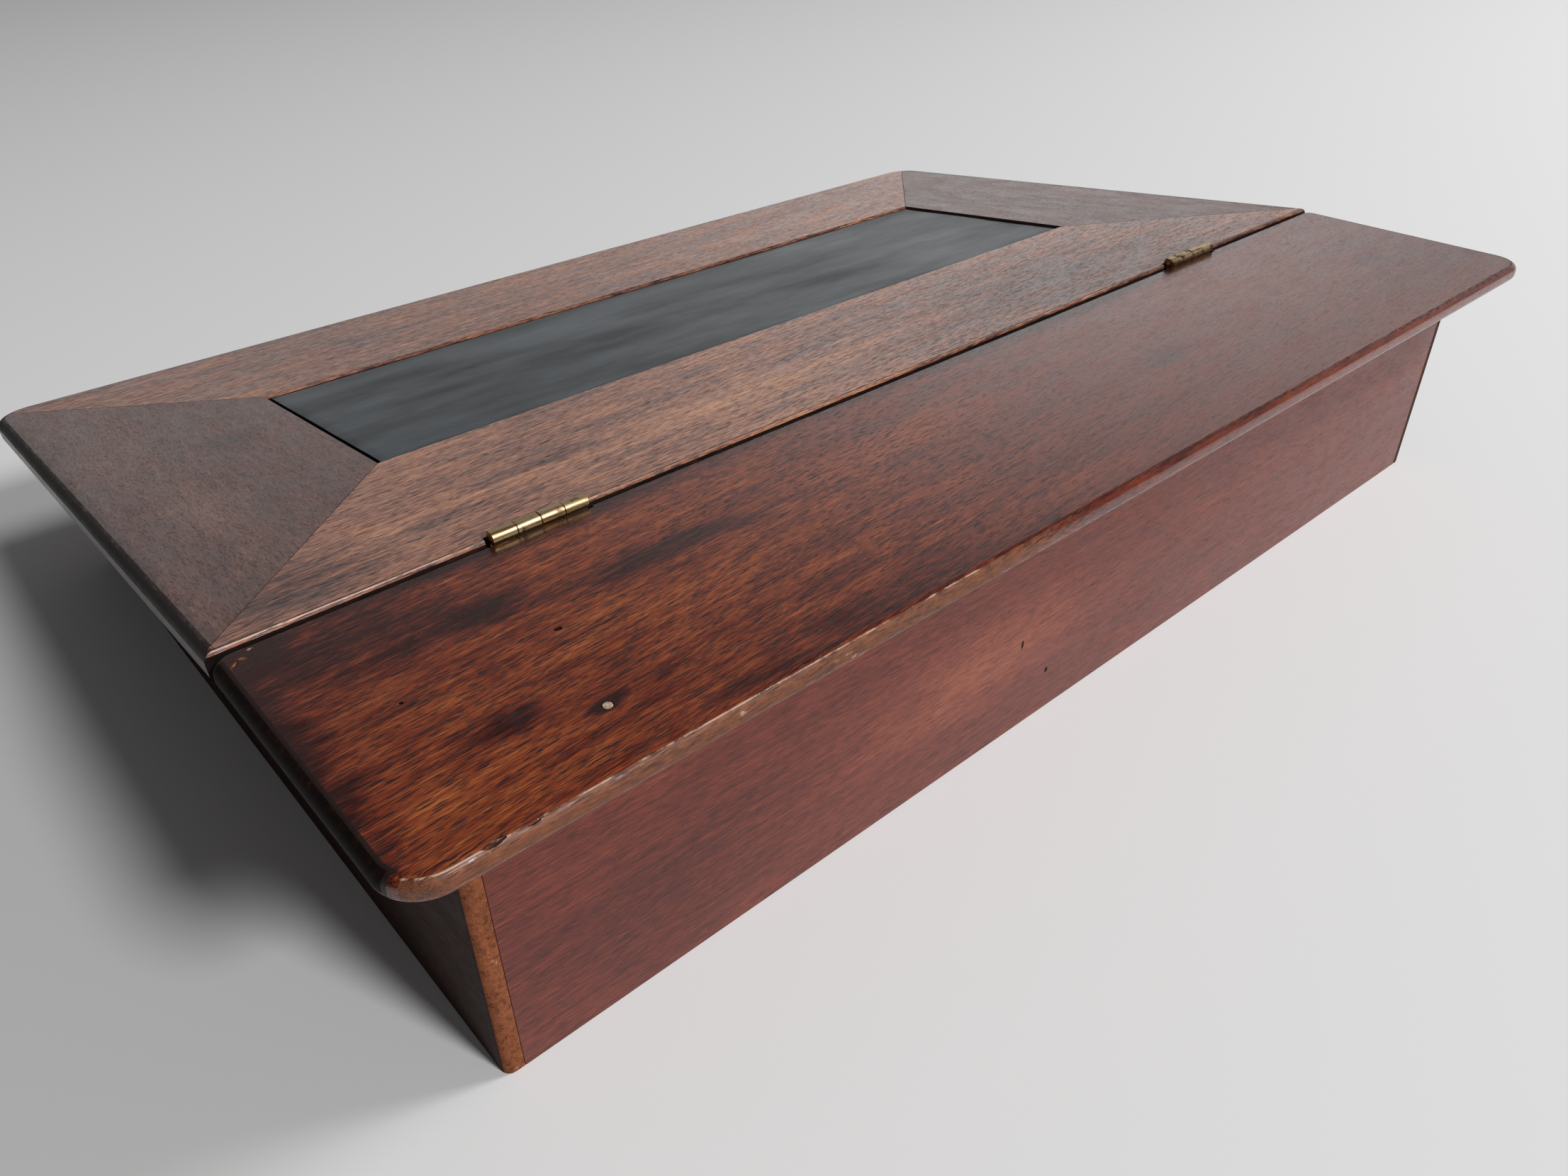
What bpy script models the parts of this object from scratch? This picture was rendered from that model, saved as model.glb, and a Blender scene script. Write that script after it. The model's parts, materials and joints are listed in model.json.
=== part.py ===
"""Travel writing box in mahogany: a wedge-shaped case with a fixed ledge along its tall back, and a
sloping lid, hinged on the ledge, that carries a leather writing inset.

Metres, +Z up. The writer sits at -Y, where the case is low. The origin lies under the middle of the
box, on the surface that it stands on.
"""

from math import asin, atan2, cos, pi, radians, sin, sqrt, tan

import bmesh
import bpy
from mathutils import Matrix, Vector

# Case: four walls and a bottom let into them from below
CASE_LENGTH = 0.3764
BACK_HEIGHT = 0.0698
SIDE_THICK = 0.0090
BACK_THICK = 0.0080
FRONT_THICK = 0.0120
SIDE_LIP = 0.0042  # end grain of a side left beside the back and the front
CORNER_WEAR = 0.0022  # rubbed round on the upright corners
BOTTOM_THICK = 0.0050
BOTTOM_LAP = 0.0045  # how far the bottom is let into the walls

# Ledge and lid boards
OVERHANG = 0.0150  # past the case, all round
LEDGE_DEPTH = 0.0775
LEDGE_THICK = 0.0055
LEDGE_CORNER = 0.0095
LID_RUN = 0.2093  # along the slope
LID_THICK = 0.0070
LID_SLOPE = radians(6.77)
LID_STEP = 0.0007  # the lid's hinge edge stands this much above the ledge
LID_CORNER = 0.0110
EDGE_ROUND_TOP = 0.0024
EDGE_ROUND_UNDER = 0.0020
ARRIS_ROUND = 0.0006  # along the hinge edges of ledge and lid

# Lid frame, panel and leather
MEMBER_WIDTH = 0.0635
PANEL_LAP = 0.0060
PANEL_THICK = 0.0050
LEATHER_SINK = 0.0005
LEATHER_THICK = 0.0011

# Butt hinges, set upright in the joint between ledge and lid
HINGE_GAP = 0.0014
HINGE_LENGTH = 0.0242
HINGE_INSET_RIGHT = 0.0578  # hinge middle from the right end of the case
HINGE_INSET_LEFT = 0.0641  # hinge middle from the left end of the case
HINGE_RISE = 0.0011  # axis above the ledge
KNUCKLES = 4
BARREL_RADIUS = 0.0017
PIN_RADIUS = 0.0008
LEAF_THICK = 0.0007
LEAF_DROP = 0.0056  # from the hinge axis to the foot of a leaf
LEAF_SCREW_SPACING = 0.0140

# Countersunk screws
SCREW_RADIUS = 0.0007
SCREW_HEAD_RADIUS = 0.0013
SCREW_HEAD_DEPTH = 0.0006
SCREW_POINT = 0.0015
HINGE_SCREW_LENGTH = 0.0085
LOCK_SCREW_LENGTH = 0.0070
LINK_SCREW_LENGTH = 0.0050

# Brad through the ledge into the back, under a plug of filler
BRAD_INSET = 0.0337  # from the right end of the case
BRAD_SET = 0.0014  # from the outer face of the back
BRAD_RADIUS = 0.0005
BRAD_HEAD_RADIUS = 0.0008
BRAD_HEAD_THICK = 0.0006
BRAD_LENGTH = 0.0200
PLUG_RADIUS = 0.0010
PLUG_DEPTH = 0.0014

# Cut box lock in the middle of the front
LOCK_LENGTH = 0.0500
LOCK_DROP = 0.0240
LOCK_PLATE_THICK = 0.0012
SELVEDGE_WIDTH = 0.0088
SELVEDGE_THICK = 0.0014
LOCK_CASE_DROP = 0.0190
LOCK_CASE_DEPTH = 0.0066
LOCK_WALL = 0.0009
LOCK_SCREW_INSET = 0.0028  # from the end of the plate, in the middle of its ear
LOCK_SCREW_RISE = 0.0060  # screw centres from the top and foot of the lock plate
BOLT_THROW = 0.0060
BOLT_THICK = 0.0014
BOLT_POST = 0.0020
BOLT_BAR = 0.0030
LINK_THICK = 0.0022
LINK_WIDTH = 0.0034
LINK_EYE_WIDTH = 0.0020
LINK_EYE_HEIGHT = 0.0030
LINK_EYE_WALL = 0.0008
LINK_PLATE_LENGTH = 0.0400
LINK_PLATE_WIDTH = 0.0080
LINK_PLATE_THICK = 0.0012
LINK_SCREW_INSET = 0.0040
KEY_DROP = 0.0135  # from the selvedge to the keyhole's round
KEY_RADIUS = 0.0016
KEY_SLOT = 0.0016
KEY_LENGTH = 0.0055
KEY_LINING = 0.0008

# Clearances
JOINT_GAP = 0.0003  # between pieces that are glued or rest on each other
MITRE_GAP = 0.0002
LEAF_PLAY = 0.0003  # between the two leaves of a closed hinge
KNUCKLE_PLAY = 0.0002
PIN_PLAY = 0.0002
RUN_GAP = 0.0003  # round the hinge barrels and the lock's moving bolt
SCREW_PLAY = 0.0002

# Modelling steps
SPARE = 0.0200  # waste that a saw cut or a cutter takes off
WELD = 1e-7
CORNER_STEPS = 6
EDGE_STEPS = 4
ROUND_STEPS = 12
BARREL_STEPS = 20
SMOOTH_ANGLE = radians(40)

# Places worked out from the sizes
TOP_LENGTH = CASE_LENGTH + 2 * OVERHANG
HALF_CASE = CASE_LENGTH / 2
TOTAL_DEPTH = LEDGE_DEPTH + HINGE_GAP + LID_RUN * cos(LID_SLOPE) - EDGE_ROUND_TOP * sin(LID_SLOPE)
LEDGE_BACK = TOTAL_DEPTH / 2
LEDGE_FRONT = LEDGE_BACK - LEDGE_DEPTH
LID_EDGE = LEDGE_FRONT - HINGE_GAP
BACK_FACE = LEDGE_BACK - OVERHANG
BACK_INNER = BACK_FACE - BACK_THICK
FRONT_FACE = OVERHANG - TOTAL_DEPTH / 2
FRONT_INNER = FRONT_FACE + FRONT_THICK
LEDGE_TOP = BACK_HEIGHT + JOINT_GAP + LEDGE_THICK
LID_TOP = LEDGE_TOP + LID_STEP
LID_PLACE = Matrix.Translation((0, LID_EDGE, LID_TOP)) @ Matrix.Rotation(LID_SLOPE, 4, "X")
LEATHER_FOOT = LEATHER_SINK + LEATHER_THICK  # below the lid's top
PANEL_TOP = LEATHER_FOOT + JOINT_GAP
HINGE_Y = LEDGE_FRONT - HINGE_GAP / 2
HINGE_Z = LEDGE_TOP + HINGE_RISE
HINGE_AXIS = Vector((0, HINGE_Y, HINGE_Z))
HINGE_MIDDLES = {"right": HALF_CASE - HINGE_INSET_RIGHT, "left": HINGE_INSET_LEFT - HALF_CASE}


def wall_top(y):
    """Height that the walls are planed to under the sloping lid."""
    under_edge = LID_PLACE @ Vector((0, 0, -LID_THICK))
    return under_edge.z + (y - under_edge.y) * tan(LID_SLOPE) - JOINT_GAP


LOCK_TOP = wall_top(FRONT_INNER - SELVEDGE_WIDTH)
LOCK_CASE_LENGTH = LOCK_LENGTH - 4 * LOCK_SCREW_INSET
BOLT_REACH = LINK_THICK / 2 + RUN_GAP + BOLT_THROW + BOLT_POST  # from a link to the end of the drawn bolt
LINK_SPACING = LOCK_CASE_LENGTH - 2 * (LOCK_WALL + RUN_GAP + BOLT_REACH)
LOCK_CASE_BACK = FRONT_INNER - LOCK_PLATE_THICK - JOINT_GAP
LOCK_CASE_FRONT = LOCK_CASE_BACK - LOCK_CASE_DEPTH
LOCK_CASE_TOP = LOCK_TOP - SELVEDGE_THICK - JOINT_GAP
LINK_Y = LOCK_CASE_BACK - RUN_GAP - LINK_WIDTH / 2
EYE_TOP = LOCK_TOP - SELVEDGE_THICK - LINK_EYE_WALL
EYE_FOOT = EYE_TOP - LINK_EYE_HEIGHT
LINK_FOOT = EYE_FOOT - LINK_EYE_WALL
BAR_TOP = LINK_FOOT - RUN_GAP
BAR_FOOT = BAR_TOP - BOLT_BAR
# A link leaves its slot on an arc about the hinge, so it drifts forward as it rises.
LINK_DRIFT = (LOCK_TOP - LINK_FOOT) * (HINGE_Z - LINK_FOOT) / (HINGE_Y - LINK_Y)


def finish(name, colour, roughness, metallic=0.0):
    """A plain material; the colour is an sRGB hex value."""
    material = bpy.data.materials.new(name)
    material.use_nodes = True
    shader = material.node_tree.nodes["Principled BSDF"]
    levels = [int(colour[i:i + 2], 16) / 255 for i in (0, 2, 4)]
    linear = [((c + 0.055) / 1.055) ** 2.4 if c > 0.04045 else c / 12.92 for c in levels]
    shader.inputs["Base Color"].default_value = (*linear, 1)
    shader.inputs["Roughness"].default_value = roughness
    shader.inputs["Metallic"].default_value = metallic
    return material


def pivot(name, place):
    """An empty that carries the pieces which move together."""
    empty = bpy.data.objects.new(name, None)
    empty.empty_display_size = OVERHANG
    empty.location = place
    bpy.context.collection.objects.link(empty)
    return empty


def piece(name, bm, material, carrier):
    """A finished sub-part on its carrier, with its origin at the carrier's."""
    bmesh.ops.translate(bm, verts=bm.verts, vec=-carrier.location)
    mesh = bpy.data.meshes.new(name)
    bm.to_mesh(mesh)
    bm.free()
    mesh.materials.append(material)
    mesh.shade_smooth()
    mesh.set_sharp_from_angle(angle=SMOOTH_ANGLE)
    obj = bpy.data.objects.new(name, mesh)
    obj.parent = carrier
    bpy.context.collection.objects.link(obj)
    return obj


def cutter(name, bm):
    """A solid that is only there to cut others."""
    mesh = bpy.data.meshes.new(name)
    bm.to_mesh(mesh)
    bm.free()
    obj = bpy.data.objects.new(name, mesh)
    obj.display_type = "WIRE"
    obj.hide_render = True
    bpy.context.collection.objects.link(obj)
    return obj


def combine(obj, other, operation="DIFFERENCE"):
    """Cut the other solid out of a piece, or join it on."""
    boolean = obj.modifiers.new(other.name, "BOOLEAN")
    boolean.operation = operation
    boolean.object = other


def arc(centre, radius, start, end, steps):
    """Points along an arc, both ends included."""
    angles = [start + (end - start) * i / steps for i in range(steps + 1)]
    return [(centre[0] + radius * cos(a), centre[1] + radius * sin(a)) for a in angles]


def prism(outline, axis, low, high):
    """A bar with a closed outline, drawn in the other two axes, from low to high along its axis."""
    places = {"X": lambda a, b: (low, a, b), "Y": lambda a, b: (a, low, b), "Z": lambda a, b: (a, b, low)}
    along = {"X": (1, 0, 0), "Y": (0, 1, 0), "Z": (0, 0, 1)}[axis]
    bm = bmesh.new()
    foot = bm.faces.new([bm.verts.new(places[axis](a, b)) for a, b in outline])
    grown = bmesh.ops.extrude_face_region(bm, geom=[foot])["geom"]
    top = [item for item in grown if isinstance(item, bmesh.types.BMVert)]
    bmesh.ops.translate(bm, verts=top, vec=Vector(along) * (high - low))
    bmesh.ops.recalc_face_normals(bm, faces=bm.faces)
    return bm


def block(low, high):
    """A plain box between two corners."""
    corners = [(low[0], low[1]), (high[0], low[1]), (high[0], high[1]), (low[0], high[1])]
    return prism(corners, "Z", low[2], high[2])


def turned(profile, place):
    """A round solid: a profile of (radius, height) from axis to axis, spun about Z and then placed."""
    bm = bmesh.new()
    verts = [bm.verts.new((radius, 0, height)) for radius, height in profile]
    edges = [bm.edges.new(pair) for pair in zip(verts, verts[1:])]
    bmesh.ops.spin(bm, geom=verts + edges, cent=(0, 0, 0), axis=(0, 0, 1), angle=2 * pi,
                   steps=ROUND_STEPS, use_merge=True)
    bmesh.ops.remove_doubles(bm, verts=bm.verts, dist=WELD)
    bmesh.ops.transform(bm, verts=bm.verts, matrix=place)
    bmesh.ops.recalc_face_normals(bm, faces=bm.faces)
    return bm


def aimed(point, direction):
    """Place for a turned solid: its Z axis runs from the point along the direction."""
    return Matrix.Translation(point) @ Vector(direction).to_track_quat("Z", "Y").to_matrix().to_4x4()


def saw(bm, point, normal):
    """Take off what lies beyond a plane, on the side that its normal points to, and close the cut."""
    everything = [*bm.verts, *bm.edges, *bm.faces]
    bmesh.ops.bisect_plane(bm, geom=everything, dist=WELD, plane_co=point, plane_no=normal, clear_outer=True)
    rim = [edge for edge in bm.edges if edge.is_boundary]
    bmesh.ops.holes_fill(bm, edges=rim, sides=0)
    bmesh.ops.recalc_face_normals(bm, faces=bm.faces)


def ease(bm, radius, steps, chosen):
    """Round the edges whose two ends are both chosen."""
    edges = [edge for edge in bm.edges if all(chosen(vert.co) for vert in edge.verts)]
    bmesh.ops.bevel(bm, geom=edges, offset=radius, segments=steps, profile=0.5, affect="EDGES")


def rounded_board(depth, thick, corner):
    """A top board with its upper face at z = 0, from y = -depth, where its corners are round, to a
    spare end past y = 0. Its edge is rounded all along, more above than below."""
    half = TOP_LENGTH / 2
    outline = [(half, SPARE), (-half, SPARE)]
    outline += arc((corner - half, corner - depth), corner, pi, 1.5 * pi, CORNER_STEPS)
    outline += arc((half - corner, corner - depth), corner, 1.5 * pi, 2 * pi, CORNER_STEPS)
    bm = prism(outline, "Z", -thick, 0)
    ease(bm, EDGE_ROUND_TOP, EDGE_STEPS, lambda co: abs(co.z) < WELD)
    ease(bm, EDGE_ROUND_UNDER, EDGE_STEPS, lambda co: abs(co.z + thick) < WELD)
    return bm


def screw_profile(length, grow=0.0):
    """Countersunk screw with its head's face at height 0, or the hole for it, grown all round."""
    mouth = [(0, -SPARE / 4), (SCREW_HEAD_RADIUS + grow, -SPARE / 4)] if grow else [(0, 0)]
    return mouth + [
        (SCREW_HEAD_RADIUS + grow, 0),
        (SCREW_RADIUS + grow, SCREW_HEAD_DEPTH),
        (SCREW_RADIUS + grow, length - SCREW_POINT),
        (0, length + grow),
    ]


def drive_screw(name, point, direction, length, material, carrier, through):
    """A countersunk screw, and its hole in each piece that it passes through."""
    place = aimed(point, direction)
    piece(name, turned(screw_profile(length), place), material, carrier)
    hole = cutter("drill_" + name, turned(screw_profile(length, SCREW_PLAY), place))
    for obj in through:
        combine(obj, hole)


def build_case(wood, carrier):
    """Front, back and sides, planed to one line along the top and rebated for the bottom below."""
    slope_end = FRONT_FACE - SPARE
    above = max(BACK_HEIGHT, wall_top(HINGE_Y)) + SPARE
    top_line = [
        (BACK_FACE + SPARE, BACK_HEIGHT),
        (HINGE_Y, BACK_HEIGHT),
        (HINGE_Y, wall_top(HINGE_Y)),
        (slope_end, wall_top(slope_end)),
        (slope_end, above + SPARE),
        (BACK_FACE + SPARE, above + SPARE),
    ]
    plane = cutter("plane_wall_tops", prism(top_line, "X", -HALF_CASE - SPARE, HALF_CASE + SPARE))
    lap_x = HALF_CASE - SIDE_THICK + BOTTOM_LAP
    lap_front = FRONT_INNER - BOTTOM_LAP
    lap_back = BACK_INNER + BOTTOM_LAP
    rebate = cutter("rebate_for_bottom", block((-lap_x, lap_front, -SPARE),
                                               (lap_x, lap_back, BOTTOM_THICK + JOINT_GAP)))

    lip = HALF_CASE - SIDE_LIP
    inner = HALF_CASE - SIDE_THICK
    wear = HALF_CASE - CORNER_WEAR
    side_plan = [
        (lip, FRONT_FACE),
        *arc((wear, FRONT_FACE + CORNER_WEAR), CORNER_WEAR, -pi / 2, 0, EDGE_STEPS),
        *arc((wear, BACK_FACE - CORNER_WEAR), CORNER_WEAR, 0, pi / 2, EDGE_STEPS),
        (lip, BACK_FACE),
        (lip, BACK_INNER - JOINT_GAP),
        (inner, BACK_INNER - JOINT_GAP),
        (inner, FRONT_INNER + JOINT_GAP),
        (lip, FRONT_INNER + JOINT_GAP),
    ]
    end = lip - JOINT_GAP
    walls = {
        "right_side": prism(side_plan, "Z", 0, above),
        "left_side": prism([(-x, y) for x, y in side_plan], "Z", 0, above),
        "back_panel": block((-end, BACK_INNER, 0), (end, BACK_FACE, above)),
        "front_panel": block((-end, FRONT_FACE, 0), (end, FRONT_INNER, above)),
    }
    objects = {}
    for name, bm in walls.items():
        objects[name] = piece(name, bm, wood, carrier)
        combine(objects[name], plane)
        combine(objects[name], rebate)
    board_x = lap_x - JOINT_GAP
    board = block((-board_x, lap_front + JOINT_GAP, 0), (board_x, lap_back - JOINT_GAP, BOTTOM_THICK))
    piece("bottom_board", board, wood, carrier)
    return objects


def build_ledge(wood, carrier):
    """The fixed top board along the back."""
    bm = rounded_board(LEDGE_DEPTH, LEDGE_THICK, LEDGE_CORNER)
    turn = Matrix.Translation((0, LEDGE_FRONT, LEDGE_TOP)) @ Matrix.Rotation(pi, 4, "Z")
    bmesh.ops.transform(bm, verts=bm.verts, matrix=turn)
    saw(bm, (0, LEDGE_FRONT, 0), (0, -1, 0))
    ease(bm, ARRIS_ROUND, 2, lambda co: abs(co.y - LEDGE_FRONT) < WELD and abs(co.z - LEDGE_TOP) < WELD)
    return piece("top_ledge", bm, wood, carrier)


def build_brad(ledge, back, steel, filler, carrier):
    """One brad through the ledge into the back panel, stopped with a plug of filler."""
    head = PLUG_DEPTH + JOINT_GAP
    brad = [
        (0, head),
        (BRAD_HEAD_RADIUS, head),
        (BRAD_HEAD_RADIUS, head + BRAD_HEAD_THICK),
        (BRAD_RADIUS, head + BRAD_HEAD_THICK),
        (BRAD_RADIUS, head + BRAD_LENGTH - SCREW_POINT),
        (0, head + BRAD_LENGTH),
    ]
    plug = [(0, 0), (PLUG_RADIUS, 0), (PLUG_RADIUS, PLUG_DEPTH), (0, PLUG_DEPTH)]
    hole = [
        (0, -SPARE),
        (PLUG_RADIUS + SCREW_PLAY, -SPARE),
        (PLUG_RADIUS + SCREW_PLAY, head + BRAD_HEAD_THICK + SCREW_PLAY),
        (BRAD_RADIUS + SCREW_PLAY, head + BRAD_HEAD_THICK + SCREW_PLAY),
        (BRAD_RADIUS + SCREW_PLAY, head + BRAD_LENGTH),
        (0, head + BRAD_LENGTH + SCREW_PLAY),
    ]
    down = aimed((HALF_CASE - BRAD_INSET, BACK_FACE - BRAD_SET, LEDGE_TOP), (0, 0, -1))
    piece("ledge_brad", turned(brad, down), steel, carrier)
    piece("ledge_brad_plug", turned(plug, down), filler, carrier)
    drill = cutter("drill_ledge_brad", turned(hole, down))
    combine(ledge, drill)
    combine(back, drill)


def build_lid_frame(wood, carrier):
    """Two rails and two stiles sawn from one rounded board along its mitres, rebated for the panel."""
    board = rounded_board(LID_RUN, LID_THICK, LID_CORNER)
    bmesh.ops.transform(board, verts=board.verts, matrix=LID_PLACE)
    saw(board, (0, LID_EDGE, 0), (0, 1, 0))
    ease(board, ARRIS_ROUND, 2, lambda co: abs(co.y - LID_EDGE) < WELD and abs(co.z - LID_TOP) < WELD)

    half = TOP_LENGTH / 2
    sides = {
        "right": (Vector((1, 0, 0)), Vector((half, 0, 0))),
        "left": (Vector((-1, 0, 0)), Vector((-half, 0, 0))),
        "hinge": (Vector((0, 1, 0)), Vector((0, 0, 0))),
        "front": (Vector((0, -1, 0)), Vector((0, -LID_RUN, 0))),
    }
    members = {
        "lid_hinge_rail": ("hinge", ("right", "left")),
        "lid_front_rail": ("front", ("right", "left")),
        "lid_right_stile": ("right", ("hinge", "front")),
        "lid_left_stile": ("left", ("hinge", "front")),
    }
    hollow_x = half - MEMBER_WIDTH + PANEL_LAP
    hollow_y = MEMBER_WIDTH - PANEL_LAP
    hollow = block((-hollow_x, hollow_y - LID_RUN, -LID_THICK - SPARE),
                   (hollow_x, -hollow_y, -LEATHER_FOOT))
    bmesh.ops.transform(hollow, verts=hollow.verts, matrix=LID_PLACE)
    rebate = cutter("rebate_for_lid_panel", hollow)

    turn = LID_PLACE.to_3x3()
    objects = {}
    for name, (side, ends) in members.items():
        bm = board.copy()
        outwards, edge = sides[side]
        saw(bm, LID_PLACE @ (edge - outwards * MEMBER_WIDTH), turn @ -outwards)
        for end in ends:
            along, end_edge = sides[end]
            mitre = (along - outwards).normalized()
            saw(bm, LID_PLACE @ (edge + end_edge - mitre * MITRE_GAP / 2), turn @ mitre)
        objects[name] = piece(name, bm, wood, carrier)
        combine(objects[name], rebate)
    board.free()
    return objects


def build_writing_surface(wood, leather, carrier):
    """The ground panel, let into the frame from below, and the leather laid on it."""
    panel_x = TOP_LENGTH / 2 - MEMBER_WIDTH + PANEL_LAP - JOINT_GAP
    panel_y = MEMBER_WIDTH - PANEL_LAP + JOINT_GAP
    panel = block((-panel_x, panel_y - LID_RUN, -PANEL_TOP - PANEL_THICK), (panel_x, -panel_y, -PANEL_TOP))
    skin_x = TOP_LENGTH / 2 - MEMBER_WIDTH - JOINT_GAP
    skin_y = MEMBER_WIDTH + JOINT_GAP
    skin = block((-skin_x, skin_y - LID_RUN, -LEATHER_FOOT), (skin_x, -skin_y, -LEATHER_SINK))
    for name, bm, material in (("lid_panel", panel, wood), ("leather_inset", skin, leather)):
        bmesh.ops.transform(bm, verts=bm.verts, matrix=LID_PLACE)
        piece(name, bm, material, carrier)


def leaf_profile(side):
    """Section of a drawn brass leaf about the hinge axis: round barrel and flat plate below it.
    The ledge's leaf has side +1, the lid's -1."""
    inner = LEAF_PLAY / 2
    outer = inner + LEAF_THICK
    start = atan2(-sqrt(BARREL_RADIUS**2 - outer**2), outer)
    end = atan2(-sqrt(BARREL_RADIUS**2 - inner**2), inner) + 2 * pi
    outline = arc((0, 0), BARREL_RADIUS, start, end, BARREL_STEPS)
    outline += [(inner, -LEAF_DROP), (outer, -LEAF_DROP)]
    return [(HINGE_Y + side * y, HINGE_Z + z) for y, z in outline]


def leaf_mortise(side):
    """Section of the housing for a leaf and half of the barrel in the edge of a board."""
    plate = LEAF_PLAY / 2 + LEAF_THICK + JOINT_GAP
    barrel = BARREL_RADIUS + RUN_GAP
    outline = [
        (0, -LEAF_DROP - JOINT_GAP),
        (plate, -LEAF_DROP - JOINT_GAP),
        (plate, -barrel),
        (barrel, -barrel),
        (barrel, SPARE),
        (0, SPARE),
    ]
    return [(HINGE_Y + side * y, HINGE_Z + z) for y, z in outline]


def build_hinge(place, ledge, rail, brass, case, lid):
    """A butt hinge at one place: two leaves with knuckles in turn, a pin, and two screws in each leaf."""
    middle = HINGE_MIDDLES[place]
    half = HINGE_LENGTH / 2
    step = HINGE_LENGTH / KNUCKLES
    round_barrel = BARREL_RADIUS + RUN_GAP
    along = aimed((middle - half, HINGE_Y, HINGE_Z), (1, 0, 0))
    pin = [(0, 0), (PIN_RADIUS, 0), (PIN_RADIUS, HINGE_LENGTH), (0, HINGE_LENGTH)]
    bore_radius = PIN_RADIUS + PIN_PLAY
    past = HINGE_LENGTH + SPARE
    bore = [(0, -SPARE), (bore_radius, -SPARE), (bore_radius, past), (0, past)]
    bore_cutter = cutter(f"bore_{place}_hinge", turned(bore, along))
    piece(f"{place}_hinge_pin", turned(pin, along), brass, case)

    leaves = ((1, f"{place}_ledge_leaf", ledge, case, 1), (-1, f"{place}_lid_leaf", rail, lid, 0))
    for side, name, board, carrier, first in leaves:
        housing_x = half + JOINT_GAP
        housing = prism(leaf_mortise(side), "X", middle - housing_x, middle + housing_x)
        combine(board, cutter("mortise_" + name, housing))
        leaf = piece(name, prism(leaf_profile(side), "X", middle - half, middle + half), brass, carrier)
        for index in range(1 - first, KNUCKLES, 2):
            low = middle + half - (index + 1) * step - KNUCKLE_PLAY / 2
            high = low + step + KNUCKLE_PLAY
            gap = block((low, HINGE_Y - 2 * round_barrel, HINGE_Z - round_barrel),
                        (high, HINGE_Y + 2 * round_barrel, HINGE_Z + 2 * round_barrel))
            combine(leaf, cutter(f"knuckle_gap_{name}_{index + 1}", gap))
        combine(leaf, bore_cutter)
        height = HINGE_Z - (round_barrel + LEAF_DROP) / 2
        for number, offset in enumerate((LEAF_SCREW_SPACING / 2, -LEAF_SCREW_SPACING / 2), start=1):
            point = (middle + offset, HINGE_Y + side * LEAF_PLAY / 2, height)
            drive_screw(f"{name}_screw_{number}", point, (0, side, 0), HINGE_SCREW_LENGTH, brass, carrier,
                        (leaf, board))


def build_lock_plate(front, brass, carrier):
    """The lock's back plate, bent over at the top into a selvedge with a slot for each link."""
    half = LOCK_LENGTH / 2
    plate_front = FRONT_INNER - LOCK_PLATE_THICK
    selvedge_front = FRONT_INNER - SELVEDGE_WIDTH
    section = [
        (FRONT_INNER, LOCK_TOP),
        (FRONT_INNER, LOCK_TOP - LOCK_DROP),
        (plate_front, LOCK_TOP - LOCK_DROP),
        (plate_front, LOCK_TOP - SELVEDGE_THICK),
        (selvedge_front, LOCK_TOP - SELVEDGE_THICK),
        (selvedge_front, LOCK_TOP),
    ]
    plate = piece("lock_plate", prism(section, "X", -half, half), brass, carrier)
    for number, x in enumerate((-LINK_SPACING / 2, LINK_SPACING / 2), start=1):
        reach = LINK_THICK / 2 + RUN_GAP
        slot = block((x - reach, LINK_Y - LINK_WIDTH / 2 - LINK_DRIFT - RUN_GAP, LOCK_TOP - SPARE / 4),
                     (x + reach, LINK_Y + LINK_WIDTH / 2 + RUN_GAP, LOCK_TOP + SPARE))
        combine(plate, cutter(f"slot_for_link_{number}", slot))
    heights = (LOCK_TOP - LOCK_SCREW_RISE, LOCK_TOP - LOCK_DROP + LOCK_SCREW_RISE)
    places = [(x, z) for z in heights for x in (LOCK_SCREW_INSET - half, half - LOCK_SCREW_INSET)]
    for number, (x, z) in enumerate(places, start=1):
        point = (x, FRONT_INNER, z)
        drive_screw(f"lock_screw_{number}", point, (0, -1, 0), LOCK_SCREW_LENGTH, brass, carrier,
                    (plate, front))


def keyhole_outline(grow):
    """Keyhole in X and Z, or the outline a given distance outside it."""
    radius = KEY_RADIUS + grow
    half = KEY_SLOT / 2 + grow
    meet = pi / 2 - asin(half / radius)
    centre = (0, LOCK_TOP - KEY_DROP)
    foot = centre[1] - KEY_LENGTH - grow
    return arc(centre, radius, -meet, pi + meet, ROUND_STEPS) + [(-half, foot), (half, foot)]


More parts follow.
